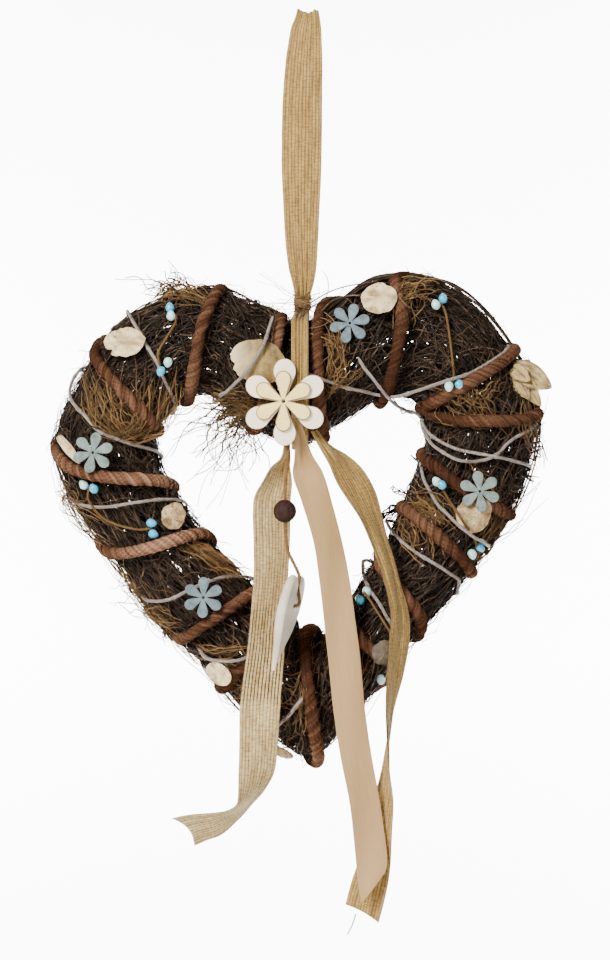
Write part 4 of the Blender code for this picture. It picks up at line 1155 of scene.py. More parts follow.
def swept(row):
    """Fibres drawn in the picture's columns and rows and laid on the bundle's front."""
    foot, foot_spread, tip, tip_spread, bow, bow_spread, low, high, count = row
    steps = 13
    s = np.linspace(0, 1, steps)[None, :, None]
    feet = np.array(foot) + chance.normal(0, 1, (count, 2)) * foot_spread
    way = np.array(tip) + chance.normal(0, 1, (count, 2)) * tip_spread - feet
    left = np.column_stack([way[:, 1], -way[:, 0]]) / np.linalg.norm(way, axis=1, keepdims=True)
    bows = chance.normal(bow, bow_spread, (count, 1))
    path = feet[:, None] + way[:, None] * s + (left * bows)[:, None] * np.sin(pi * s ** 0.8)
    path += 1.9 * np.stack([waves(count, steps, 1, 3), waves(count, steps, 1, 3)], axis=-1)
    depths = front_depth(path[..., 0], path[..., 1])
    depths = np.minimum(depths, depths[:, :1] + 5 * MM)
    share = s[0, :, 0]
    bends = np.polynomial.polynomial.polyfit(share, depths.T, 3)
    depths = np.polynomial.polynomial.polyval(share, bends)
    hump = column(low, high, count) * MM
    lift = 0.3 * MM + hump * np.sin(pi * np.clip(s[..., 0], 0.04, 0.9) ** 0.8)
    return np.stack(at_pixel(path[..., 0], path[..., 1], depths - lift), axis=-1)


def tuft_lines(place, angle, along, around, main, count):
    steps = 15
    s = np.linspace(0, 1, steps)
    length = column(14, 50, count) * MM
    heading = radians(main) + chance.normal(0, 0.6, (count, 1))
    bends = chance.normal(0, 55, (count, 1))
    start = place + chance.normal(0, 0.26, (count, 1)) * along * MM / RING_LENGTH
    turn = angle + chance.normal(0, 0.26, (count, 1)) * around * MM * DEGREES_A_METRE
    places, angles = courses(start, turn, length, heading, bends, 0.35, steps)
    hump = column(0.5, 9, count) * column(0, 1, count)
    lift = (0.2 + hump * (0.2 + np.sin(pi * s)) + 0.9 * waves(count, steps, 1, 3)) * MM
    return skin(places, angles, lift)


def coir():
    sets = []
    for row in TUFTS:
        lines = tuft_lines(*row)
        count, steps = lines.shape[:2]
        radii = column(0.14, 0.33, count) * MM * tapered(steps, 0.5)
        sets.append(tubes(lines, radii, 3, chance.random(count)))
    for row in SWEEPS:
        lines = swept((*row[:-1], int(0.6 * row[-1]) + 1))
        count, steps = lines.shape[:2]
        radii = column(0.17, 0.42, count) * MM * tapered(steps, 0.45)
        sets.append(tubes(lines, radii, 3, chance.random(count) ** 1.5))
    return sets


def hanging_fibres():
    """Fibres that hang free inside the heart and off its edges: start, way they go, spread."""
    sets = []
    starts = [((0.05, 165), (-0.55, -0.3, -0.9), 36, 34), ((0.06, 172), (-1.0, -0.2, -0.45), 46, 20),
              ((0.04, 160), (-0.2, -0.3, -1.0), 30, 12), ((0.1185, -2), (-0.7, 0.1, 0.45), 22, 16),
              ((0.3545, 2), (-0.9, 0.0, -0.1), 16, 16), ((0.47, 60), (0.1, -0.2, -1.0), 16, 8)]
    for (place, angle), way, reach, count in starts:
        steps = 16
        s = np.linspace(0, 1, steps)[None, :, None]
        foot = skin(place + chance.normal(0, 0.01, count), angle + chance.normal(0, 14, count), 0.0)[:, None]
        course = unit(np.array(way) + chance.normal(0, 0.33, (count, 3)))[:, None]
        swing = chance.normal(0, 0.42, (count, 1, 3)) * s ** 2
        length = chance.uniform(0.35, 1.0, (count, 1, 1)) * reach * MM
        lines = foot + length * (s * course + swing - [0, 0, 0.12] * s ** 2)
        beats = chance.uniform(0.8, 2, (count, 1, 3))
        lines += 2.6 * MM * np.sin(2 * pi * (beats * s + chance.random((count, 1, 3)))) * s
        radii = column(0.34, 0.54, count) * MM * (1 - 0.3 * s[..., 0])
        sets.append(tubes(lines, radii, 3, chance.random(count)))
    return sets


tufts = add_object("coir_tufts", fill_mesh("coir_tufts", *joined(coir())), COIR)
dress(tufts, "fibre_tie")
hanging = add_object("hanging_fibres", fill_mesh("hanging_fibres", *joined(hanging_fibres())), FIBRE)
dress(hanging, "fibre_tie")
dark_ends = []
for dark_row in DARK_SWEEPS:
    dark_lines = swept(dark_row)
    dark_radii = column(0.35, 0.6, len(dark_lines)) * MM * tapered(dark_lines.shape[1], 0.6)
    dark_ends.append(tubes(dark_lines, dark_radii, 5, chance.uniform(0, 0.5, len(dark_lines))))
vine_piece("vine_curls", dark_ends)
print("coir", len(tufts.data.polygons), "faces")

# %% [markdown]
# The two jutes share one weave and differ in colour. Where the attribute "open" is one, the gaps
# between their threads turn see-through. The satin is woven so finely that only its sheen shows.

# %% Ribbon finishes
def jute_finish(name, stops):
    """Coarse weave: pale warp threads beside gaps darkened as painted shade, with slubs, see-through where
    open.
    """
    finish, tree, shader = new_finish(name, 0.85)
    weave = place_group(tree, WEAVE, Warp=480, Weft=1150, Uneven=0.5)
    slub = ramp(tree, weave.outputs["Slub"], stops)
    # Painted shade: the colour is darkened in the gaps between the warp threads.
    warp = ramp(tree, weave.outputs["Warp Thread"], [(0.08, (0.22, 0.17, 0.12)), (0.26, (0.9, 0.88, 0.85)),
                                                     (0.85, (1.12, 1.12, 1.1))])
    weft = ramp(tree, weave.outputs["Fleck"], [(0.34, (0.66, 0.62, 0.55)), (0.6, (1.12, 1.12, 1.12))])
    shade = mix_colours(tree, 1.0, warp, weft, "MULTIPLY")
    tree.links.new(mix_colours(tree, 1.0, slub, shade, "MULTIPLY"), shader.inputs["Base Color"])
    warp_gap = math_node(tree, "LESS_THAN", weave.outputs["Warp Thread"], 0.66)
    weft_gap = math_node(tree, "LESS_THAN", weave.outputs["Weft Thread"], 0.88)
    hole = times(tree, times(tree, warp_gap, weft_gap), stored(tree, "open"))
    tree.links.new(math_node(tree, "SUBTRACT", 1.0, hole, True), shader.inputs["Alpha"])
    shader.inputs["Sheen Weight"].default_value = 0.05
    bump(tree, shader, weave.outputs["Height"], 0.00012)
    return finish


def satin_finish():
    finish, tree, shader = new_finish("satin_weave", 0.42)
    weave = place_group(tree, WEAVE, Warp=2600, Weft=2600, Uneven=0.2)
    colour = ramp(tree, weave.outputs["Slub"], [(0.3, (0.355, 0.208, 0.078)), (0.7, (0.425, 0.262, 0.103))])
    tree.links.new(colour, shader.inputs["Base Color"])
    shader.inputs["Sheen Weight"].default_value = 0.1
    shader.inputs["Sheen Roughness"].default_value = 0.4
    bump(tree, shader, weave.outputs["Height"], 0.00004)
    return finish


JUTE = jute_finish("jute_weave", [(0.25, (0.15, 0.085, 0.017)), (0.5, (0.275, 0.163, 0.037)),
                                  (0.8, (0.4, 0.265, 0.076))])
JUTE_PALE = jute_finish("jute_pale", [(0.25, (0.24, 0.152, 0.05)), (0.5, (0.43, 0.305, 0.128)),
                                      (0.8, (0.6, 0.465, 0.24))])
SATIN = satin_finish()

# %% [markdown]
# Ribbons are cloth, so each is a thin sheet over the same ribs as its solid. Between ribs the
# middle, the direction and the width are smoothed, the sheet is cut fine, and pleats are raised
# across it where it is gathered. The UV map is the flat ribbon in metres, which the weave reads.

# %% Ribbon sheets
JUTE_WIDTH = 25 * MM
SATIN_WIDTH = 20 * MM


def cloth_grid(middles, ribs, outs, width):
    """Points of a sheet's middle surface and where each lies on the flat ribbon."""
    share = np.linspace(-0.5, 0.5, outs.shape[1])
    grid = middles[:, None] + ribs[:, None] * share[None, :, None] + outs
    run = run_along(middles)
    flat = np.stack(np.broadcast_arrays((share + 0.5)[None] * width, run[:, None]), axis=-1)
    return grid, flat.copy()


def trimmed(grid, flat, less):
    """The sheet cut off earlier in each column, by the lengths in less."""
    run = flat[:, 0, 1]
    new_grid, new_flat = grid.copy(), flat.copy()
    for j, cut in enumerate(less):
        at = run * (1 - cut / run[-1])
        for axis in range(3):
            new_grid[:, j, axis] = np.interp(at, run, grid[:, j, axis])
        new_flat[:, j, 1] = at
    return new_grid, new_flat


def sheet_mesh(name, grid, flat, thickness, opened=None):
    """A two-sided sheet from its middle surface, closed at the edges."""
    rows, columns = grid.shape[:2]
    normal = unit(np.cross(np.gradient(grid, axis=1), np.gradient(grid, axis=0)))
    near = grid + normal * thickness / 2
    far = grid - normal * thickness / 2
    verts = np.vstack([near.reshape(-1, 3), far.reshape(-1, 3)])
    half = rows * columns
    i, j = np.meshgrid(np.arange(rows - 1) * columns, np.arange(columns - 1), indexing="ij")
    a = (i + j).ravel()
    top = np.column_stack([a, a + 1, a + columns + 1, a + columns])
    bottom = top[:, ::-1] + half
    edges = []
    for j in (0, columns - 1):
        a = np.arange(rows - 1) * columns + j
        edge = np.column_stack([a, a + columns, a + columns + half, a + half])
        edges.append(edge if j == 0 else edge[:, ::-1])
    for i in (0, (rows - 1) * columns):
        a = i + np.arange(columns - 1)
        edge = np.column_stack([a, a + half, a + half + 1, a + 1])
        edges.append(edge if i == 0 else edge[:, ::-1])
    quads = np.vstack([top, bottom] + edges)
    opened = np.zeros(rows) if opened is None else opened
    attributes = {"open": np.tile(np.repeat(opened, columns), 2)}
    plane = flat.reshape(-1, 2)
    return fill_mesh(name, verts, quads, attributes, np.vstack([plane, plane]))


def rib_rows(table, width, per_leg):
    """Middles and ribs along a tail, from rows of across, down, ahead, share, lean and turn."""
    table = smooth(np.array(table, float), per_leg)
    middles = from_knot(table[:, :3])
    lean, turn = np.radians(table[:, 4]), np.radians(table[:, 5])
    ways = np.stack([np.cos(lean) * np.cos(turn), np.sin(turn), np.sin(lean) * np.cos(turn)], axis=-1)
    return middles, ways * (table[:, 3] * width)[:, None], table[:, 3]


def pleats(middles, ribs, shares, columns, folds, most, seed):
    """Waves across the ribbon, deeper where it is gathered, dying out where it lies flat."""
    own = np.random.default_rng(seed)
    out = unit(np.cross(ribs, np.gradient(middles, axis=0)))
    spread = np.linspace(0, 1, columns)
    along = np.linspace(0, 1, len(middles))[:, None]
    uneven = 0.07 * np.sin(2 * pi * (1.3 * spread[None] + own.random() + 0.7 * along))
    phase = own.random() + 0.3 * np.sin(5 * along + own.uniform(0, 6))
    wave = np.sin(2 * pi * (folds * (spread[None] + uneven) + phase)) * np.sin(pi * spread[None]) ** 0.3
    gathered = np.clip((0.92 - shares) / 0.45, 0, 1)
    depth = np.minimum(most, np.linalg.norm(ribs, axis=1) * 0.14) * gathered
    soft = 0.45 * MM * np.sin(2 * pi * (0.8 * spread[None] + 3 * along + own.random()))
    return out[:, None] * (wave * depth[:, None] + soft)[..., None]

# %% [markdown]
# Three tails hang from the knot: two of jute, of which the right one turns over once on its way
# down, and one of satin with its end cut in a curve. Their ribs are those of the solids.

# %% Tails
# Across, down, ahead of the ring's front (mm), share of the flat width, lean and turn (degrees)
JUTE_LEFT_RIBS = [
    (-7, 6, 5.5, 0.25, 0, 52), (-8, -6, 6.5, 0.28, 0, 55), (-9, -13, 7.5, 0.45, 0, 57),
    (-12, -19, 8, 0.8, -3, 55), (-14, -28, 8.5, 0.95, 0, 42), (-17, -40, 9.5, 1, 0, 27),
    (-17, -64, 11, 1, 0, 29), (-17.5, -85, 12, 1, 0, 33), (-19, -106, 13, 1, 0, 29),
    (-21, -132, 14, 1, 0, 22), (-24, -161, 14, 1, 0, 10), (-25, -185, 14, 1, 0, 22),
    (-26, -203, 14, 1, 0, 29), (-29, -215, 14, 1, -4, 49), (-34, -224, 14, 1, -20, 68),
    (-41, -230.5, 14, 1, -62, 66), (-50, -235.5, 14, 1, -76, 52), (-61, -238, 14, 1, -67, 42),
    (-71, -241, 14, 1, -53, 28),
]
SATIN_RIBS = [
    (-3, 10, 8.5, 0.5, 0, 50), (0, -1, 9, 0.6, 20, 50), (2, -13, 10, 0.75, 10, 40),
    (5, -24, 11, 0.98, 4, 19), (10, -39, 12, 1, 0, 24), (17, -64, 13, 1, 0, 28), (21, -88, 14, 1, 0, 20),
    (24, -112, 15, 1, 0, 17), (27, -136, 15, 1, 1, 14), (30, -166, 15, 1, 0, 16), (34, -194, 15, 1, 2, 17),
    (39, -221, 15, 1, 5, 22), (42, -244, 15, 1, 12, 18), (44, -262, 15, 1.03, 27, 6),
    (44.5, -275, 15, 1.16, 53, 0),
]
JUTE_RIGHT_RIBS = [
    (9, 3, 3, 0.35, 0, 60), (15.5, -6, 4, 0.5, 12, 54), (23, -14, 5, 0.8, 26, 50),
    (30, -24, 7, 0.95, 26, 40), (37, -36, 9, 0.95, 14, 40), (43, -49, 11, 0.85, 11, 51),
    (48, -63, 14, 0.75, 14, 56), (53, -77, 17, 0.7, 11, 55), (57, -92, 18, 0.7, 8, 55),
    (60.5, -108, 18, 0.75, 4, 51), (60, -124, 21, 0.8, 0, 50), (57.5, -145, 20, 0.75, 0, 57),
    (55, -164, 17, 0.7, 0, 72), (53.5, -186, 13, 0.65, 0, 90), (52.5, -204, 9, 0.7, 0, 104),
    (51, -222, 6, 0.85, 0, 121), (48, -240, 4, 0.95, 0, 130), (45, -262, 2, 1, -4, 142),
    (42, -276, 1, 1, -14, 152), (38, -292, 0, 1, -26, 155),
]


TAIL_COLUMNS = 41


def tail(name, node, table, width, thickness, finish, slot, folds, most, seed, cut, open_rows):
    middles, ribs, shares = rib_rows(table, width, 8)
    columns = TAIL_COLUMNS
    outs = pleats(middles, ribs, shares, columns, folds, most, seed)
    grid, flat = cloth_grid(middles, ribs, outs, width)
    spread = np.linspace(0, 1, columns)
    grid, flat = trimmed(grid, flat, cut * MM * (1 - (2 * spread - 1) ** 2))
    opened = None
    if open_rows:
        down = KNOT[2] - middles[:, 2]
        first, last = (value * MM for value in open_rows)
        opened = np.clip(np.minimum(down - first, last - down) / (4 * MM), 0, 1)
    piece = add_object(name, sheet_mesh(name, grid, flat, thickness, opened), finish)
    dress(piece, slot, node)


# Piece, solid, ribs, width, thickness, finish, slot, pleats, deepest pleat, seed of the pleats, how
# much less the middle is long than the edges in mm, and where the weave is open in mm below the knot
TAILS = [
    ("jute_ribbon_left", "jute_tail_left", JUTE_LEFT_RIBS, JUTE_WIDTH, 0.5 * MM, JUTE_PALE, "jute",
     3, 1.1 * MM, 5, 4.0, (104, 165)),
    ("satin_ribbon", "satin_tail", SATIN_RIBS, SATIN_WIDTH, 0.35 * MM, SATIN, "satin",
     1, 0.8 * MM, 6, -1.0, None),
    ("jute_ribbon_right", "jute_tail_right", JUTE_RIGHT_RIBS, JUTE_WIDTH, 0.5 * MM, JUTE, "jute",
     2, 1.2 * MM, 7, 1.0, None),
]
for tail_row in TAILS:
    tail(*tail_row)

# %% [markdown]
# The hanging ribbon is one closed band: the loop above, pinched by fibres at the foot, and a turn
# round the bundle at the cleft. The rows of the loop are those of the solid, and where the band
# lies on the ring its distance from the bundle's middle is read from the solid.

# %% Hanging ribbon
# Drop below the hook, sideways offset, share of the flat width, half the gap (mm)
LOOP_ROWS = [
    (0.0, 0.6, 0.53, 3.0), (1.6, 0.6, 0.56, 4.3), (5.0, 0.3, 0.63, 5.3), (11.0, -0.6, 0.76, 6.2),
    (20.0, -1.2, 0.84, 6.6), (32.0, -1.9, 0.92, 6.6), (54.0, -2.8, 0.98, 6.3), (78.0, -3.2, 1, 5.8),
    (100.0, -3.4, 0.98, 5.2), (121.0, -3.4, 0.9, 4.4), (141.0, -3.3, 0.82, 3.2), (157.0, -2.8, 0.7, 1.9),
    (166.0, -2.4, 0.56, 1.0), (173.0, -2.5, 0.42, 0.8), (178.0, -2.6, 0.37, 0.7), (186.0, -3.2, 0.38, 0.9),
]
STRAP_WIDTH = 10.5 * MM
CROWN_WIDTH = 13.2 * MM
JUTE_THICKNESS = 0.9 * MM
LOOP_COLUMNS = 35


def strap_rows():
    """Rows of the turn round the ring, at the distance that the solid keeps."""
    centre = MIDDLES[0]
    corners = np.array([v.co[:] for v in frame["nodes"]["hanging_ribbon"].data.vertices])
    low = corners[corners[:, 2] < -(LOOP_LENGTH + 12 * MM)]
    away = low[:, 1:] - [0, centre[1]]
    angle = np.degrees(np.arctan2(-away[:, 0], away[:, 1])) % 360
    reach = np.hypot(away[:, 0], away[:, 1])
    marks = np.arange(34, 327, 12)
    near = [reach[np.abs(angle - m) < 11] for m in marks]
    radius = np.array([part.mean() if len(part) else np.nan for part in near])
    good = ~np.isnan(radius)
    radius = np.interp(marks, marks[good], radius[good])
    a = np.radians(marks)
    x = np.full(len(marks), EDGES[0, 0])
    return np.column_stack([x, -radius * np.sin(a), centre[1] + radius * np.cos(a)])


def hanging_ribbon():
    loop = np.array(LOOP_ROWS)
    front = np.column_stack([loop[:, 1] * MM, -loop[:, 3] * MM - JUTE_THICKNESS / 2, -loop[:, 0] * MM])
    front[0, 2] += JUTE_THICKNESS / 2
    strap = strap_rows()
    back = front[::-1] * [1, -1, 1]
    crown_point = [[front[0, 0], 0, JUTE_THICKNESS / 2]]
    middles = np.vstack([crown_point, front, strap, back, crown_point])
    widths = np.concatenate([[CROWN_WIDTH], loop[:, 2] * JUTE_WIDTH, np.full(len(strap), STRAP_WIDTH),
                             loop[::-1, 2] * JUTE_WIDTH, [CROWN_WIDTH]])
    rows = smooth(np.column_stack([middles, widths]), 6)
    middles = rows[:, :3]
    ribs = np.column_stack([rows[:, 3], np.zeros((len(rows), 2))])
    shares = np.clip(rows[:, 3] / JUTE_WIDTH, 0.3, 1)
    columns = LOOP_COLUMNS
    outs = pleats(middles, ribs, shares, columns, 4, 0.7 * MM, 11)
    crown = np.exp(-((middles[:, 2] - JUTE_THICKNESS / 2) / (9 * MM)) ** 2)
    across = np.linspace(0, 1, columns)
    ears = 1.1 * np.cos(2 * pi * (across - 0.1) / 0.8) + 1.2 * (0.5 - across)
    outs[..., 2] += MM * crown[:, None] * ears[None]
    grid, flat = cloth_grid(middles, ribs, outs, JUTE_WIDTH)
    piece = add_object("hanging_loop", sheet_mesh("hanging_loop", grid, flat, 0.5 * MM), JUTE)
    dress(piece, "jute", "hanging_ribbon")


hanging_ribbon()

# %% [markdown]
# The foot of the loop is tied with turns of fibre. Each turn is a thin strand that follows a
# squarish ring, and a few loose ends stick out. Single strands of vine and coir cross the ribbon
# there and end on the right shoulder. Their courses are read from the picture.

# %% Fibre tie
def fibre_tie():
    low, high = (np.array(corner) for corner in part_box("ribbon_tie"))
    middle = (low + high) / 2
    half = (high - low) / 2
    count, steps = 46, 40
    rounds = chance.uniform(1.2, 2.4, (count, 1))
    a = np.linspace(0, 1, steps)[None] * rounds * 2 * pi + chance.random((count, 1)) * 2 * pi
    push = 0.6 + 0.14 * chance.random((count, 1)) + 0.03 * waves(count, steps, 2, 5)
    x = push * half[0] * np.sign(np.cos(a)) * np.abs(np.cos(a)) ** 0.7
    y = push * half[1] * np.sign(np.sin(a)) * np.abs(np.sin(a)) ** 0.7
    tilt = chance.normal(0, 0.38, (count, 1))
    z = chance.uniform(-0.75, 0.35, (count, 1)) * half[2] * (1 + 0.06 * waves(count, steps, 1, 2)) + tilt * x
    lines = middle + np.stack([x, y, z], axis=-1)
    turns = tubes(lines, column(0.14, 0.3, count) * MM, 4, column(0.3, 1, count)[:, 0])
    loose, steps = 26, 12
    s = np.linspace(0, 1, steps)[None, :, None]
    foot = middle + chance.uniform(-1, 1, (loose, 1, 3)) * half * [0.8, 0.9, 0.8]
    way = unit(chance.normal(0, 1, (loose, 1, 3)) * [1.0, 0.35, 0.7] + [0, -0.5, 0])
    reach = chance.uniform(8 * MM, 26 * MM, (loose, 1, 1))
    ends = foot + reach * (s * way + chance.normal(0, 0.25, (loose, 1, 3)) * s ** 2)
    thin = tubes(ends, chance.uniform(0.12 * MM, 0.25 * MM, (loose, 1)), 3, chance.random(loose))
    piece = add_object("fibre_tie", fill_mesh("fibre_tie", *joined([turns, thin])), COIR)
    return dress(piece, "fibre_tie", "ribbon_tie")


fibre_tie()

# Strands that cross the ribbon's foot: points as column, row and depth in mm, radius in mm
CROSSING_VINES = [
    ([(281, 328, -30), (297, 315, -14), (315, 300, -10), (340, 288, -12), (377, 281, -14)], 0.5),
    ([(322, 270, -4), (328, 281, -6), (326, 297, -8), (312, 306, -9)], 0.32),
    ([(312, 330, -33), (320, 314, -22), (331, 302, -18), (347, 296, -18), (366, 296, -20)], 0.62),
    ([(300, 318, -18), (318, 303, -16), (338, 296, -16), (352, 303, -20), (362, 322, -30)], 0.4),
    ([(240, 302, -10), (262, 303, -8), (288, 304, -8), (306, 309, -9)], 0.25),
]
CROSSING_FIBRES = [
    ([(278, 303, -10), (295, 303, -8), (312, 311, -12), (328, 330, -28), (331, 350, -33)], 0.28),
    ([(292, 333, -30), (312, 334, -33), (330, 341, -34), (338, 349, -34)], 0.28),
    ([(289, 340, -32), (308, 338, -34), (326, 346, -34), (340, 343, -34)], 0.24),
    ([(296, 300, -8), (316, 307, -14), (333, 320, -26), (345, 341, -34)], 0.3),
    ([(304, 322, -26), (322, 318, -26), (338, 330, -32), (337, 352, -34)], 0.26),
    ([(288, 318, -24), (300, 327, -30), (318, 327, -32), (336, 318, -32)], 0.22),
]


def crossing(name, rows, finish, slot):
    parts = []
    for points, radius in rows:
        line = spaced(smooth([at_pixel(c, r, y * MM) for c, r, y in points], 8), 1.5 * MM)
        radii = (radius * MM * tapered(len(line), 0.5))[None]
        parts.append(tubes(line[None], radii, 5, chance.uniform(0.5, 1)))
    return dress(add_object(name, fill_mesh(name, *joined(parts)), finish), slot)


crossing("crossing_vines", CROSSING_VINES, VINE, "vine")
crossing("crossing_fibres", CROSSING_FIBRES, COIR, "fibre_tie")
print(len(CROSSING_VINES) + len(CROSSING_FIBRES), "strands cross the ribbon")

# %% [markdown]
# Flat trimmings keep the place of their solids: the widest flat side of a solid gives the plane,
# its corners give the outline, and the piece is built again there with a finer edge and face.

# %% Frames of the flat solids
def flat_place(node):
    """Frame of a flat solid: its middle on the underside, x across, y up, z towards the viewer."""
    corners, faces, _ = corner_graph(node)
    areas = {}
    for a, b, c in faces:
        cross = np.cross(corners[b] - corners[a], corners[c] - corners[a])
        way = unit(cross)
        key = next((k for k in areas if way @ np.array(k) > 0.9999), tuple(way))
        areas[key] = areas.get(key, 0) + np.linalg.norm(cross) / 2
    under = np.array(max(areas, key=areas.get))
    n = Vector(-under if -under[1] < 0 else under)
    depth = corners @ np.array(n)
    flat = corners[depth < depth.min() + 0.05 * MM]
    y = (Vector((0, 0, 1)) - n * n.z).normalized()
    x = y.cross(n)
    origin = Vector(flat.mean(axis=0))
    matrix = Matrix.Translation(origin) @ Matrix((x, y, n)).transposed().to_4x4()
    back = np.array(matrix.inverted())
    local = flat @ back[:3, :3].T + back[:3, 3]
    order = np.argsort(np.arctan2(local[:, 1], local[:, 0]))
    return matrix, local[order, :2], float(depth.max() - depth.min())


def petal_outline(span, first, width, waist, inset, count=6, lobe=15):
    """Round-ended petals that narrow to a waist near the middle, drawn in by a length."""
    tip, radius, inner = span / 2 - inset, width * span / 2 - inset, waist * span / 2 - inset
    out = []
    for k in range(count):
        a = first + 2 * pi * k / count
        notch = a - pi / count
        out.append((inner * cos(notch), inner * sin(notch)))
        for j in range(lobe):
            b = radians(-122 + 244 * j / (lobe - 1))
            along, side = tip - 1.12 * radius + 1.12 * radius * cos(b), radius * sin(b)
            out.append((along * cos(a) - side * sin(a), along * sin(a) + side * cos(a)))
    return out


def cut_plate(name, outline_at, thickness, edge, hole, matrix, finish):
    """A drilled plate with rounded edges, built level by level from its outline."""
    quarter = [(edge * (1 - sin(a)), edge * (1 - cos(a))) for a in np.linspace(0, pi / 2, 4)]
    levels = quarter + [(inset, thickness - height) for inset, height in reversed(quarter)]
    rows = [[(x, y, z) for x, y in outline_at(inset)] for inset, z in levels]
    count = len(rows[0])
    faces = band_faces(len(rows), count)
    faces += [tuple(reversed(range(count))), tuple((len(rows) - 1) * count + j for j in range(count))]
    mesh = face_mesh(name, [point for row in rows for point in row], faces)
    piece = add_object(name, mesh, finish)
    drill_hole(piece, hole, 4 * thickness)
    piece.data.transform(matrix)
    piece.data.shade_smooth()
    piece.data.set_sharp_from_angle(angle=radians(40))
    return piece


def drill_hole(piece, radius, depth):
    """Bores a round hole through a piece along its own upright axis."""
    drill = bpy.data.objects.new(piece.name + "_drill", bpy.data.meshes.new(piece.name + "_drill"))
    bm = bmesh.new()
    bmesh.ops.create_cone(bm, cap_ends=True, segments=20, radius1=radius, radius2=radius, depth=depth)
    bm.to_mesh(drill.data)
    bm.free()
    bpy.context.collection.objects.link(drill)
    cut = piece.modifiers.new("hole", "BOOLEAN")
    cut.object = drill
    apply_modifiers(piece)
    bpy.data.objects.remove(drill)


def apply_modifiers(piece):
    """Replaces a piece's mesh by what its modifiers make of it."""
    result = bpy.data.meshes.new_from_object(piece.evaluated_get(bpy.context.evaluated_depsgraph_get()))
    piece.modifiers.clear()
    piece.data = result

# %% [markdown]
# The big flower is two layers of painted wood, the front one cream with its edge scorched by the
# cutting. The small ones are pressed felt in grey blue and grey mint.

# %% Flower finishes
def mottled(name, stops, scale, fine, roughness, relief, spots=0.0, crested=False):
    """A finish for flat pieces: a ramp over blotches, fine grain in the bump."""
    finish, tree, shader = new_finish(name, roughness)
    mottle = place_group(tree, MOTTLE, Scale=scale, Fine=fine)
    share = math_node(tree, "ADD", times(tree, mottle.outputs["Soft"], 0.65),
                      times(tree, mottle.outputs["Fine"], 0.35))
    colour = ramp(tree, share, stops)
    if crested:
        # Painted shade and highlight: the colour is darkened in the hollows of the creases and lightened on
        # their tops.
        shade = ramp(tree, stored(tree, "crest"), [(0.15, (0.5, 0.42, 0.34)), (0.5, (0.95, 0.94, 0.92)),
                                                   (0.85, (1.2, 1.2, 1.2))])
        colour = mix_colours(tree, 1.0, colour, shade, "MULTIPLY")
        colour = mix_colours(tree, stored(tree, "pale"), colour, (0.56, 0.44, 0.23))
    if spots:
        pores = tree.nodes.new("ShaderNodeTexVoronoi")
        pores.inputs["Scale"].default_value = spots
        tree.links.new(tree.nodes.new("ShaderNodeTexCoord").outputs["Object"], pores.inputs["Vector"])
        mask = ramp(tree, pores.outputs["Distance"], [(0.1, (0.35, 0.25, 0.16)), (0.22, (1, 1, 1))])
        colour = mix_colours(tree, 1.0, colour, mask, "MULTIPLY")
    tree.links.new(colour, shader.inputs["Base Color"])
    bump(tree, shader, mottle.outputs["Fine"], relief)
    return finish


FLOWER_WHITE = mottled("white_paint", [(0.35, (0.88, 0.735, 0.49)), (0.6, (0.97, 0.86, 0.63))],
                       90, 900, 0.55, 0.00008)
FLOWER_CREAM = mottled("cream_paint", [(0.35, (0.81, 0.56, 0.16)), (0.6, (0.96, 0.74, 0.27))],
                       90, 900, 0.55, 0.00008)
FELT_BLUE = mottled("felt_blue", [(0.3, (0.045, 0.07, 0.078)), (0.5, (0.11, 0.15, 0.16)),
                                  (0.75, (0.215, 0.265, 0.275))], 220, 1600, 0.95, 0.0003)
FELT_MINT = mottled("felt_mint", [(0.3, (0.06, 0.082, 0.072)), (0.5, (0.15, 0.19, 0.168)),
                                  (0.75, (0.26, 0.305, 0.27))], 220, 1600, 0.95, 0.0003)
SCORCH = mottled("scorched_edge", [(0.35, (0.15, 0.08, 0.028)), (0.65, (0.3, 0.18, 0.07))],
                 200, 900, 0.7, 0.00005)
HEART_PAINT = mottled("heart_paint", [(0.32, (0.48, 0.39, 0.28)), (0.5, (0.63, 0.54, 0.42)),
                                      (0.7, (0.73, 0.655, 0.54))], 60, 700, 0.55, 0.0001)

# %% [markdown]
# A flower is cut like a plate. Its outline is drawn in a little from level to level, which rounds
# both edges, and a small hole is bored through its middle. The solid gives its place, and the
# angle of one petal is given.

# %% Flowers
SMALL_FLOWER_SPAN = 25 * MM


def flower(node, span, thickness, finish, slot, hole, edge, width, waist, upright, rim=None):
    """A cut flower at its solid's place; upright is the angle of one petal in degrees."""
    matrix = flat_place(node)[0]
    piece = cut_plate(node + "_cut", lambda inset: petal_outline(span, radians(upright), width, waist, inset),
                      thickness, edge, hole, matrix, finish)
    if rim:
        piece.data.materials.append(rim)
        front = matrix.to_3x3() @ Vector((0, 0, 1))
        for face in piece.data.polygons:
            face.material_index = int(abs(face.normal @ front) < 0.98)
    return dress(piece, slot, node)


# Node, span, finish, slot, radius of the hole, rounding of the edge, waist between two petals
LARGE_LAYERS = [
    ("flower_back", 53 * MM, FLOWER_WHITE, "flower_white", 1.0 * MM, 0.35 * MM, 0.085),
    ("flower_front", 37 * MM, FLOWER_CREAM, "flower_cream", 1.3 * MM, 0.65 * MM, 0.13),
]
for layer, span, paint, paint_slot, hole, edge, waist in LARGE_LAYERS:
    flower(layer, span, 2.4 * MM, paint, paint_slot, hole, edge, 0.262, waist, 90, SCORCH)
FELTS = [
    ("small_flower_1", FELT_MINT, "felt_mint", 78), ("small_flower_2", FELT_BLUE, "felt_blue", 88),
    ("small_flower_3", FELT_BLUE, "felt_blue", 75), ("small_flower_4", FELT_MINT, "felt_mint", 97),
]
for small, felt, felt_slot, upright in FELTS:
    flower(small, SMALL_FLOWER_SPAN, 2.2 * MM, felt, felt_slot, 0.9 * MM, 0.5 * MM, 0.265, 0.15, upright)
print("flowers done")
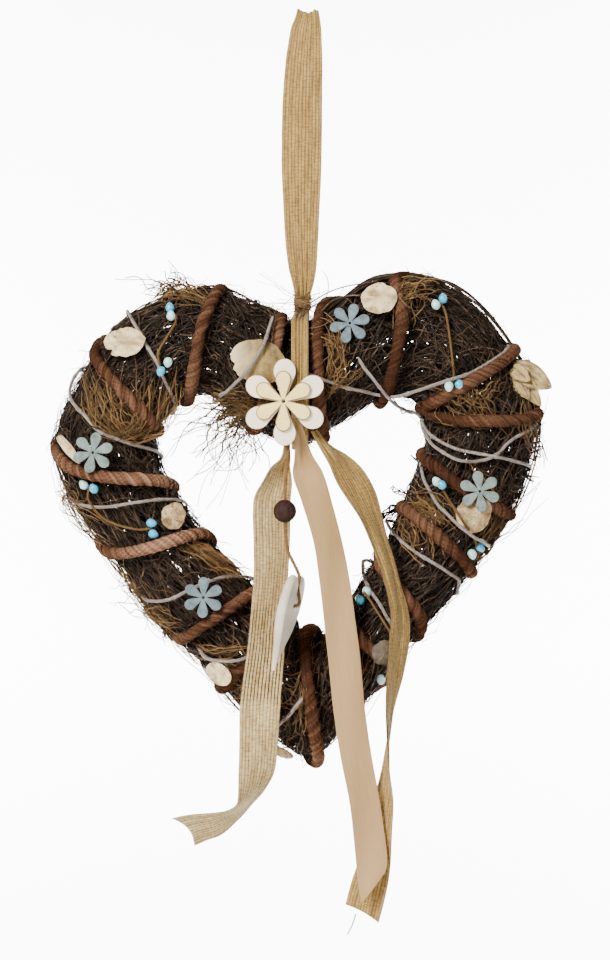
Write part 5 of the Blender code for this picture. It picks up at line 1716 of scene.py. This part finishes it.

# %% [markdown]
# Bark finishes are the mottled ones again, now with the two numbers that a slice's mesh carries:
# "crest" gives painted shade in the hollows of its creases and a painted highlight on their tops,
# and "pale" fades one side of it.

# %% Bark finishes
BARK_CREAM = mottled("bark_cream", [(0.28, (0.2, 0.125, 0.055)), (0.45, (0.58, 0.44, 0.225)),
                                    (0.72, (0.8, 0.67, 0.4))], 190, 900, 0.8, 0.0006, 330, True)
BARK_OLIVE = mottled("bark_olive", [(0.3, (0.105, 0.06, 0.014)), (0.5, (0.245, 0.155, 0.041)),
                                    (0.75, (0.38, 0.265, 0.092))], 70, 700, 0.6, 0.0003, 0, True)
BARK_TAN = mottled("bark_tan", [(0.32, (0.11, 0.062, 0.022)), (0.5, (0.32, 0.215, 0.09)),
                                (0.68, (0.6, 0.48, 0.27))], 150, 700, 0.75, 0.0005, 360, True)
BARK_POD = mottled("bark_pod", [(0.3, (0.13, 0.08, 0.026)), (0.5, (0.33, 0.235, 0.09)),
                                (0.75, (0.54, 0.42, 0.19))], 160, 800, 0.7, 0.0005, 0, True)
BARK_BROWN = mottled("bark_brown", [(0.3, (0.03, 0.019, 0.009)), (0.5, (0.08, 0.057, 0.03)),
                                    (0.75, (0.165, 0.127, 0.072))], 120, 800, 0.7, 0.0004, 0, True)

# %% [markdown]
# Bark slices are thin rounds torn from bark, domed and uneven. A disc of rings and spokes is laid
# over the solid's outline, its rim is ragged by noise, and the face swells and creases.

# %% Bark slices
def ripple(x, y, seed, scale):
    """A cheap smooth random field made of a few crossing waves."""
    own = np.random.default_rng(seed)
    total = 0
    for _ in range(5):
        way = own.uniform(0, 2 * pi)
        beat = own.uniform(0.5, 1.5) * scale
        total = total + np.sin(beat * (x * cos(way) + y * sin(way)) + own.uniform(0, 6))
    return total / 5


def bark_slice(node, finish, slot, seed, ragged, dome, crease, notches=(), pale=None, down=0.0):
    """A domed slice on its solid's outline; a notch is an angle, a depth and a width."""
    matrix, outline, thickness = flat_place(node)
    spokes, rings = 84, 20
    a = np.linspace(-pi, pi, spokes, endpoint=False)
    own_angle = np.arctan2(outline[:, 1], outline[:, 0])
    rim = np.interp(a, own_angle, np.hypot(*outline.T), period=2 * pi)
    rim = rim * (1 + ragged * ripple(3 * np.cos(a), 3 * np.sin(a), seed, 2.2)
                 + 0.5 * ragged * ripple(9 * np.cos(a), 9 * np.sin(a), seed + 1, 1.8))
    for middle, depth, width in notches:
        gap = (a - radians(middle) + pi) % (2 * pi) - pi
        rim = rim * (1 - depth * np.exp(-(gap / radians(width)) ** 2))
    share = np.sin(np.linspace(0, pi / 2, rings))[:, None]
    x = share * rim * np.cos(a)
    y = share * rim * np.sin(a)
    body = thickness * (0.45 + dome * (1 - share ** 2))
    fold = crease * thickness * (ripple(x, y, seed + 2, 420) + 0.7 * ripple(x, y, seed + 3, 1100)
                                 + 0.8 * share * ripple(4 * np.cos(a), 4 * np.sin(a), seed + 4, 2.5))
    top = body + fold * (1 - 0.3 * share)
    bottom = 0.1 * thickness + 0.5 * fold * share
    upper = np.stack([x, y, np.maximum(top, bottom + 0.6 * MM)], axis=-1).reshape(-1, 3)
    lower = np.stack([x, y, bottom], axis=-1).reshape(-1, 3)
    half = rings * spokes
    faces = []
    for i in range(rings - 1):
        for j in range(spokes):
            b, c = i * spokes + j, i * spokes + (j + 1) % spokes
            faces.append((b, b + spokes, c + spokes, c))
            faces.append((c + half, c + spokes + half, b + spokes + half, b + half))
    last = (rings - 1) * spokes
    faces += [(last + j, last + j + half, last + (j + 1) % spokes + half, last + (j + 1) % spokes)
              for j in range(spokes)]
    mesh = face_mesh(node, np.vstack([upper, lower]).tolist(), faces)
    towards = np.zeros_like(x)
    if pale is not None:
        towards = np.clip((x * cos(radians(pale)) + y * sin(radians(pale))) / rim.mean(), 0, 1) ** 2
    # Crease height, which the finish turns into painted shade in the hollows and a painted highlight on the
    # tops.
    height = (fold - fold.min()) / max(float(np.ptp(fold)), 1e-9)
    for key, values in (("pale", towards), ("crest", height)):
        add_values(mesh, key, np.tile(values.ravel(), 2))
    bm = bmesh.new()
    bm.from_mesh(mesh)
    bmesh.ops.remove_doubles(bm, verts=bm.verts, dist=0.01 * MM)
    bmesh.ops.recalc_face_normals(bm, faces=bm.faces)
    bm.to_mesh(mesh)
    bm.free()
    mesh.transform(Matrix.Translation((0, 0, -down * MM)) @ matrix)
    mesh.shade_smooth()
    piece = add_object(node + "_bark", mesh, finish)
    return dress(piece, slot, node)


# Node, finish, slot, how ragged the rim, how domed, how creased, notches, side that turns pale
SLICES = [
    ("bark_slice_olive", BARK_OLIVE, "bark_olive", 0.035, 0.5, 0.16, [(186, 0.14, 7), (205, 0.08, 6)], 180),
    ("bark_slice_pale", BARK_TAN, "bark_tan", 0.07, 0.4, 0.26, [(35, 0.1, 12), (-130, 0.08, 10)], None),
    ("bark_slice_tan", BARK_TAN, "bark_tan", 0.04, 0.4, 0.14, [], None),
    ("wood_slice_ringed", BARK_CREAM, "bark_cream", 0.02, 0.15, 0.06, [], None),
    ("bark_slice_cream", BARK_CREAM, "bark_cream", 0.05, 0.35, 0.2,
     [(212, 0.26, 7), (97, 0.08, 8), (20, 0.06, 9)], 90),
    ("bark_slice_ivory", BARK_CREAM, "bark_cream", 0.04, 0.45, 0.24, [(60, 0.07, 10)], None, 5),
    ("bark_slice_brown", BARK_BROWN, "bark_brown", 0.04, 0.55, 0.18, [], None),
    ("bark_strip", BARK_TAN, "bark_tan", 0.05, 0.4, 0.16, [], None),
]
for slice_seed, (slice_node, slice_finish, slice_slot, *slice_values) in enumerate(SLICES):
    bark_slice(slice_node, slice_finish, slice_slot, 10 * slice_seed + 3, *slice_values)

# %% [markdown]
# Two trimmings are curved shells rather than slices. The pod at the right shoulder is made of
# cupped valves, each a leaf of two faces that is creased along its length. The crescent of bark
# beside the left flower is one narrow valve, seen from its hollow side.

# %% Pod and crescent
def valve(base, tip, width, cup, crinkle, seed):
    """Vertices and faces of one cupped leaf from base to tip, hollow towards the viewer."""
    along, across = 26, 17
    base, tip = np.array(base), np.array(tip)
    way = tip - base
    side = unit(np.cross(way, [0, 1, 0]))
    out = unit(np.cross(side, way))
    out = out if out[1] < 0 else -out
    u = np.linspace(0, 1, along)[:, None]
    v = np.linspace(-1, 1, across)[None]
    half = width / 2 * np.sin(pi * np.clip(0.1 + 0.9 * u, 0, 1) ** 0.85) ** 0.75 + 0.3 * MM
    rise = cup * (v ** 2 - 0.5) * half / (width / 2) + 0.5 * cup * np.sin(pi * u)
    fine = crinkle * (ripple(u * 3, v * 1.5, seed, 3.5) + 0.7 * ripple(u * 8, v * 4, seed + 1, 3))
    fine = fine + 1.1 * crinkle * np.abs(np.sin(7 * v + 2 * u + seed)) * np.sin(pi * u)
    rise = rise + fine
    wavy = 1 + 0.1 * ripple(u * 6, v * 0, seed + 2, 3)
    front = base + u[..., None] * way + (v * half * wavy)[..., None] * side + rise[..., None] * out
    back = front - 0.6 * MM * out
    verts = np.vstack([front.reshape(-1, 3), back.reshape(-1, 3)])
    half_count = along * across
    faces = []
    for i in range(along - 1):
        for j in range(across - 1):
            a = i * across + j
            faces.append((a, a + 1, a + across + 1, a + across))
            far, after = a + half_count, a + across + half_count
            faces.append((far, after, after + 1, far + 1))
    rim = [i * across for i in range(along)] + [(along - 1) * across + j for j in range(1, across)]
    rim += [i * across + across - 1 for i in range(along - 2, -1, -1)] + list(range(across - 2, 0, -1))
    faces += [(a, a + half_count, b + half_count, b) for a, b in zip(rim, rim[1:] + rim[:1])]
    # Crinkle height, which the finish turns into painted shade in the hollows and a painted highlight on the
    # tops.
    height = np.tile(((fine - fine.min()) / np.ptp(fine)).ravel(), 2)
    return verts, faces, height


def shell(name, valves, finish, slot, node):
    verts, faces, heights = [], [], []
    for row in valves:
        more_verts, more_faces, more_heights = valve(*row)
        start = sum(len(part) for part in verts)
        verts.append(more_verts)
        heights.append(more_heights)
        faces += [tuple(index + start for index in face) for face in more_faces]
    mesh = face_mesh(name, np.vstack(verts).tolist(), faces)
    add_values(mesh, "crest", np.concatenate(heights))
    add_values(mesh, "pale", np.zeros(len(mesh.vertices)))
    mesh.shade_smooth()
    return dress(add_object(name, mesh, finish), slot, node)


# Base and tip as column, row and depth in mm, then width, cup and crinkle in mm
POD_VALVES = [
    ((513, 366, -17), (552, 388, -21), 15, 3.5, 1.2), ((514, 371, -18), (541, 406, -20), 11, 3.0, 1.1),
    ((511, 372, -19), (529, 399, -23), 9, -2.5, 1.0), ((512, 368, -20), (530, 381, -24), 9, 2.0, 1.1),
    ((516, 372, -15), (530, 360, -18), 8, 2.0, 0.6),
]
CRESCENT_VALVE = [((58, 436, -31), (80, 464, -35), 5.2, -1.6, 0.25)]


def valve_rows(rows, seed):
    """Rows with their points in space and their lengths in metres, each with a seed."""
    out = []
    for n, (base, tip, *lengths) in enumerate(rows):
        ends = [at_pixel(c, r, depth * MM) for c, r, depth in (base, tip)]
        out.append((*ends, *(length * MM for length in lengths), seed + 5 * n))
    return out


shell("pod_valves", valve_rows(POD_VALVES, 40), BARK_POD, "bark_cream", "pod_shell")
shell("bark_crescent_valve", valve_rows(CRESCENT_VALVE, 90), BARK_CREAM, "bark_olive", "bark_crescent")
print(len(SLICES), "slices")

# %% [markdown]
# The berries are moulded drops on wire, glossy, in turquoise and mint. A round profile is pulled
# to a soft point, and the drop leans away from its sprig so that the points fan out.

# %% Berries
def glossy(name, deep, light):
    finish, tree, shader = new_finish(name, 0.22)
    mottle = place_group(tree, MOTTLE, Scale=400, Fine=1500)
    colour = ramp(tree, mottle.outputs["Soft"], [(0.35, deep), (0.65, light)])
    tree.links.new(colour, shader.inputs["Base Color"])
    shader.inputs["Coat Weight"].default_value = 0.6
    shader.inputs["Coat Roughness"].default_value = 0.08
    return finish


BERRY_FINISH = {
    "berry_blue": glossy("berry_blue", (0.02, 0.28, 0.44), (0.07, 0.48, 0.66)),
    "berry_mint": glossy("berry_mint", (0.33, 0.6, 0.56), (0.56, 0.78, 0.72)),
}


def berry(node, slot, lean):
    low, high = (np.array(corner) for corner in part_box(node))
    centre, radius = berry_point(node), 0.55 * float((high - low).max())
    bm = bmesh.new()
    bmesh.ops.create_uvsphere(bm, u_segments=20, v_segments=14, radius=radius)
    for vertex in bm.verts:
        height = vertex.co.z / radius
        vertex.co.z *= 1.22 if height > 0 else 1.0
        squeeze = 1 - 0.22 * max(height, 0) ** 1.5
        vertex.co.x *= squeeze * 0.94
        vertex.co.y *= squeeze * 0.94
    mesh = bpy.data.meshes.new(node)
    bm.to_mesh(mesh)
    bm.free()
    way = Vector(lean).normalized()
    mesh.transform(Matrix.Translation(Vector(centre)) @ way.to_track_quat("Z", "Y").to_matrix().to_4x4())
    mesh.shade_smooth()
    piece = add_object(node + "_drop", mesh, BERRY_FINISH[slot])
    return dress(piece, slot, node)


def all_berries():
    slots = {row["node"]: row["material_slot"] for row in frame["record"]["subparts"]}
    for name in BERRY_SPOTS:
        stem_low, stem_high = (np.array(c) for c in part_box("berry_stem_" + name.split("_")[1]))
        away = berry_point(name) - (stem_low + stem_high) / 2
        berry(name, slots[name], (away[0], -0.004, away[2]))
    print(len(BERRY_SPOTS), "berries")


all_berries()

# %% [markdown]
# The pendant's bead is turned wood with its bore upright, and the heart below it is sawn from
# board and painted white, with its edges rubbed round. The heart hangs nearly edge on.

# %% Bead and heart
BEAD_DIAMETER = 14 * MM
BEAD_BORE = 3.4 * MM
BEAD_LEVELS = 14
BEAD_SIDES = 40
HEART_SIDES = 96
HEART_LEVELS = 11

def bead_finish():
    finish, tree, shader = new_finish("bead_wood", 0.65)
    shader.inputs["Specular IOR Level"].default_value = 0.15
    place = tree.nodes.new("ShaderNodeTexCoord").outputs["Object"]
    stretch = tree.nodes.new("ShaderNodeMapping")
    stretch.inputs["Scale"].default_value = (700, 700, 90)
    tree.links.new(place, stretch.inputs["Vector"])
    grain = noise_node(tree, stretch.outputs[0], 1.0, 4.0)
    tree.links.new(ramp(tree, grain, [(0.3, (0.01, 0.004, 0.003)), (0.6, (0.03, 0.011, 0.007)),
                                      (0.8, (0.065, 0.026, 0.017))]), shader.inputs["Base Color"])
    bump(tree, shader, grain, 0.0001)
    return finish


def wooden_bead():
    low, high = (np.array(corner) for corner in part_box("wooden_bead"))
    radius, bore = BEAD_DIAMETER / 2, BEAD_BORE / 2
    edge = acos(bore / radius)
    outer = [(radius * cos(edge * k / BEAD_LEVELS), radius * sin(edge * k / BEAD_LEVELS))
             for k in range(-BEAD_LEVELS, BEAD_LEVELS + 1)]
    turns = [2 * pi * k / BEAD_SIDES for k in range(BEAD_SIDES)]
    verts = [(r * cos(turn), r * sin(turn), z) for r, z in outer for turn in turns]
    mesh = face_mesh("bead", verts, band_faces(len(outer), BEAD_SIDES, closed=True))
    mesh.transform(Matrix.Translation(Vector((low + high) / 2)))
    mesh.shade_smooth()
    mesh.set_sharp_from_angle(angle=radians(60))
    return dress(add_object("bead", mesh, bead_finish()), "bead_wood", "wooden_bead")


def white_heart():
    """Levels of the outline, drawn in towards both faces so that the edges are round."""
    sides = HEART_SIDES
    a = 2 * pi * (np.arange(sides) + 0.5) / sides
    x = np.sin(a) ** 3 * HEART_WIDTH / 2
    y = (13 * np.cos(a) - 5 * np.cos(2 * a) - 2 * np.cos(3 * a) - np.cos(4 * a)) / 17
    y = (y + 0.15) * HEART_LENGTH / 1.7
    slim = 0.45 + 0.55 * np.minimum(1, (y - y.min()) / (24 * MM))
    verts = []
    for level in np.linspace(-pi / 2, pi / 2, HEART_LEVELS):
        shrink = 1 - HEART_ROUND * (1 - cos(level)) / (HEART_WIDTH / 2)
        z = HEART_THICKNESS / 2 + 0.56 * HEART_THICKNESS * sin(level) * slim
        verts.append(np.column_stack([x * shrink, y * shrink, z]))
    last = (HEART_LEVELS - 1) * sides
    faces = band_faces(HEART_LEVELS, sides) + [tuple(range(sides)), tuple(last + j for j in range(sides))]
    mesh = face_mesh("painted_heart", np.vstack(verts).tolist(), faces)
    bm = bmesh.new()
    bm.from_mesh(mesh)
    bmesh.ops.recalc_face_normals(bm, faces=bm.faces)
    bm.to_mesh(mesh)
    bm.free()
    piece = add_object("painted_heart", mesh, HEART_PAINT)
    piece.data.transform(Matrix.Translation((0, -HEART_HOLE_UP, 0)))
    drill_hole(piece, 1.8 * MM, 4 * HEART_THICKNESS)
    piece.data.transform(HEART_MATRIX @ Matrix.Translation((0, HEART_HOLE_UP, 0)))
    piece.data.shade_smooth()
    piece.data.set_sharp_from_angle(angle=radians(40))
    return dress(piece, "heart_wood", "white_heart")


bead = wooden_bead()
heart = white_heart()

# %% [markdown]
# A thin steel wire sticks out of the right tail. It is one short tube along the solid's route,
# with a metal finish: full metallic value, low roughness and a grey that varies a little.

# %% Ribbon wire
def steel_finish():
    finish, tree, shader = new_finish("steel_wire", 0.3, 1.0)
    mottle = place_group(tree, MOTTLE, Scale=300, Fine=2000)
    tree.links.new(ramp(tree, mottle.outputs["Fine"], [(0.3, (0.3, 0.3, 0.3)), (0.7, (0.55, 0.55, 0.55))]),
                   shader.inputs["Base Color"])
    return finish


WIRE_ROUTE = [(34.2, -292.5, -1.5), (32.4, -298, -1.5), (30.8, -301.5, -1.2), (29, -305, -0.8)]
wire_line = spaced(smooth(from_knot(WIRE_ROUTE), 8), 0.5 * MM)
wire = add_object("wire_end", fill_mesh("wire", *tubes(wire_line[None], 0.5 * MM, 8, 0.5)), steel_finish())
dress(wire, "steel_wire", "ribbon_wire")

# %% [markdown]
# The picture shows the wreath on plain white. Here a pale sweep, floor and wall in one, stands
# well behind it, so that its shadow falls away. One large soft light from the upper left shapes
# the strands, a weaker one fills from the right, and the pale world lights the rest.

# %% Backdrop and light
def backdrop():
    floor, wall, width, corner = -1.0, 3.0, 4.0, 0.45
    profile = [(-3.0, floor), (wall - corner, floor)]
    for a in np.linspace(0.15, pi / 2, 10):
        profile.append((wall - corner + corner * sin(a), floor + corner - corner * cos(a)))
    profile.append((wall, 2.6))
    verts = [(x, y, z) for y, z in profile for x in (-width, width)]
    faces = [(2 * k, 2 * k + 1, 2 * k + 3, 2 * k + 2) for k in range(len(profile) - 1)]
    mesh = face_mesh("backdrop", verts, faces)
    mesh.shade_smooth()
    finish, _, shader = new_finish("backdrop_paper", 0.9)
    shader.inputs["Base Color"].default_value = (0.94, 0.94, 0.94, 1)
    piece = add_object("backdrop", mesh, finish)


def area_light(name, place, target, size, power):
    data = bpy.data.lights.new(name, "AREA")
    data.size = size
    data.energy = power
    lamp = bpy.data.objects.new(name, data)
    lamp.location = place
    lamp.rotation_euler = (Vector(target) - Vector(place)).to_track_quat("-Z", "Y").to_euler()
    bpy.context.collection.objects.link(lamp)


def light_it():
    world = bpy.data.worlds.new("studio")
    world.use_nodes = True
    sky = world.node_tree.nodes["Background"]
    sky.inputs["Color"].default_value = (1, 1, 1, 1)
    sky.inputs["Strength"].default_value = 0.3
    bpy.context.scene.world = world
    middle = (0, 0, -0.3)
    area_light("key", (-1.0, -1.8, 0.7), middle, 0.7, 130)
    area_light("fill", (1.4, -1.5, -0.1), middle, 1.2, 12)
    for side in (-1, 1):
        area_light(f"wall_light_{side}", (side * 1.5, 1.6, -0.2), (side * 0.1, 3.0, -0.3), 1.4, 340)


backdrop()
light_it()
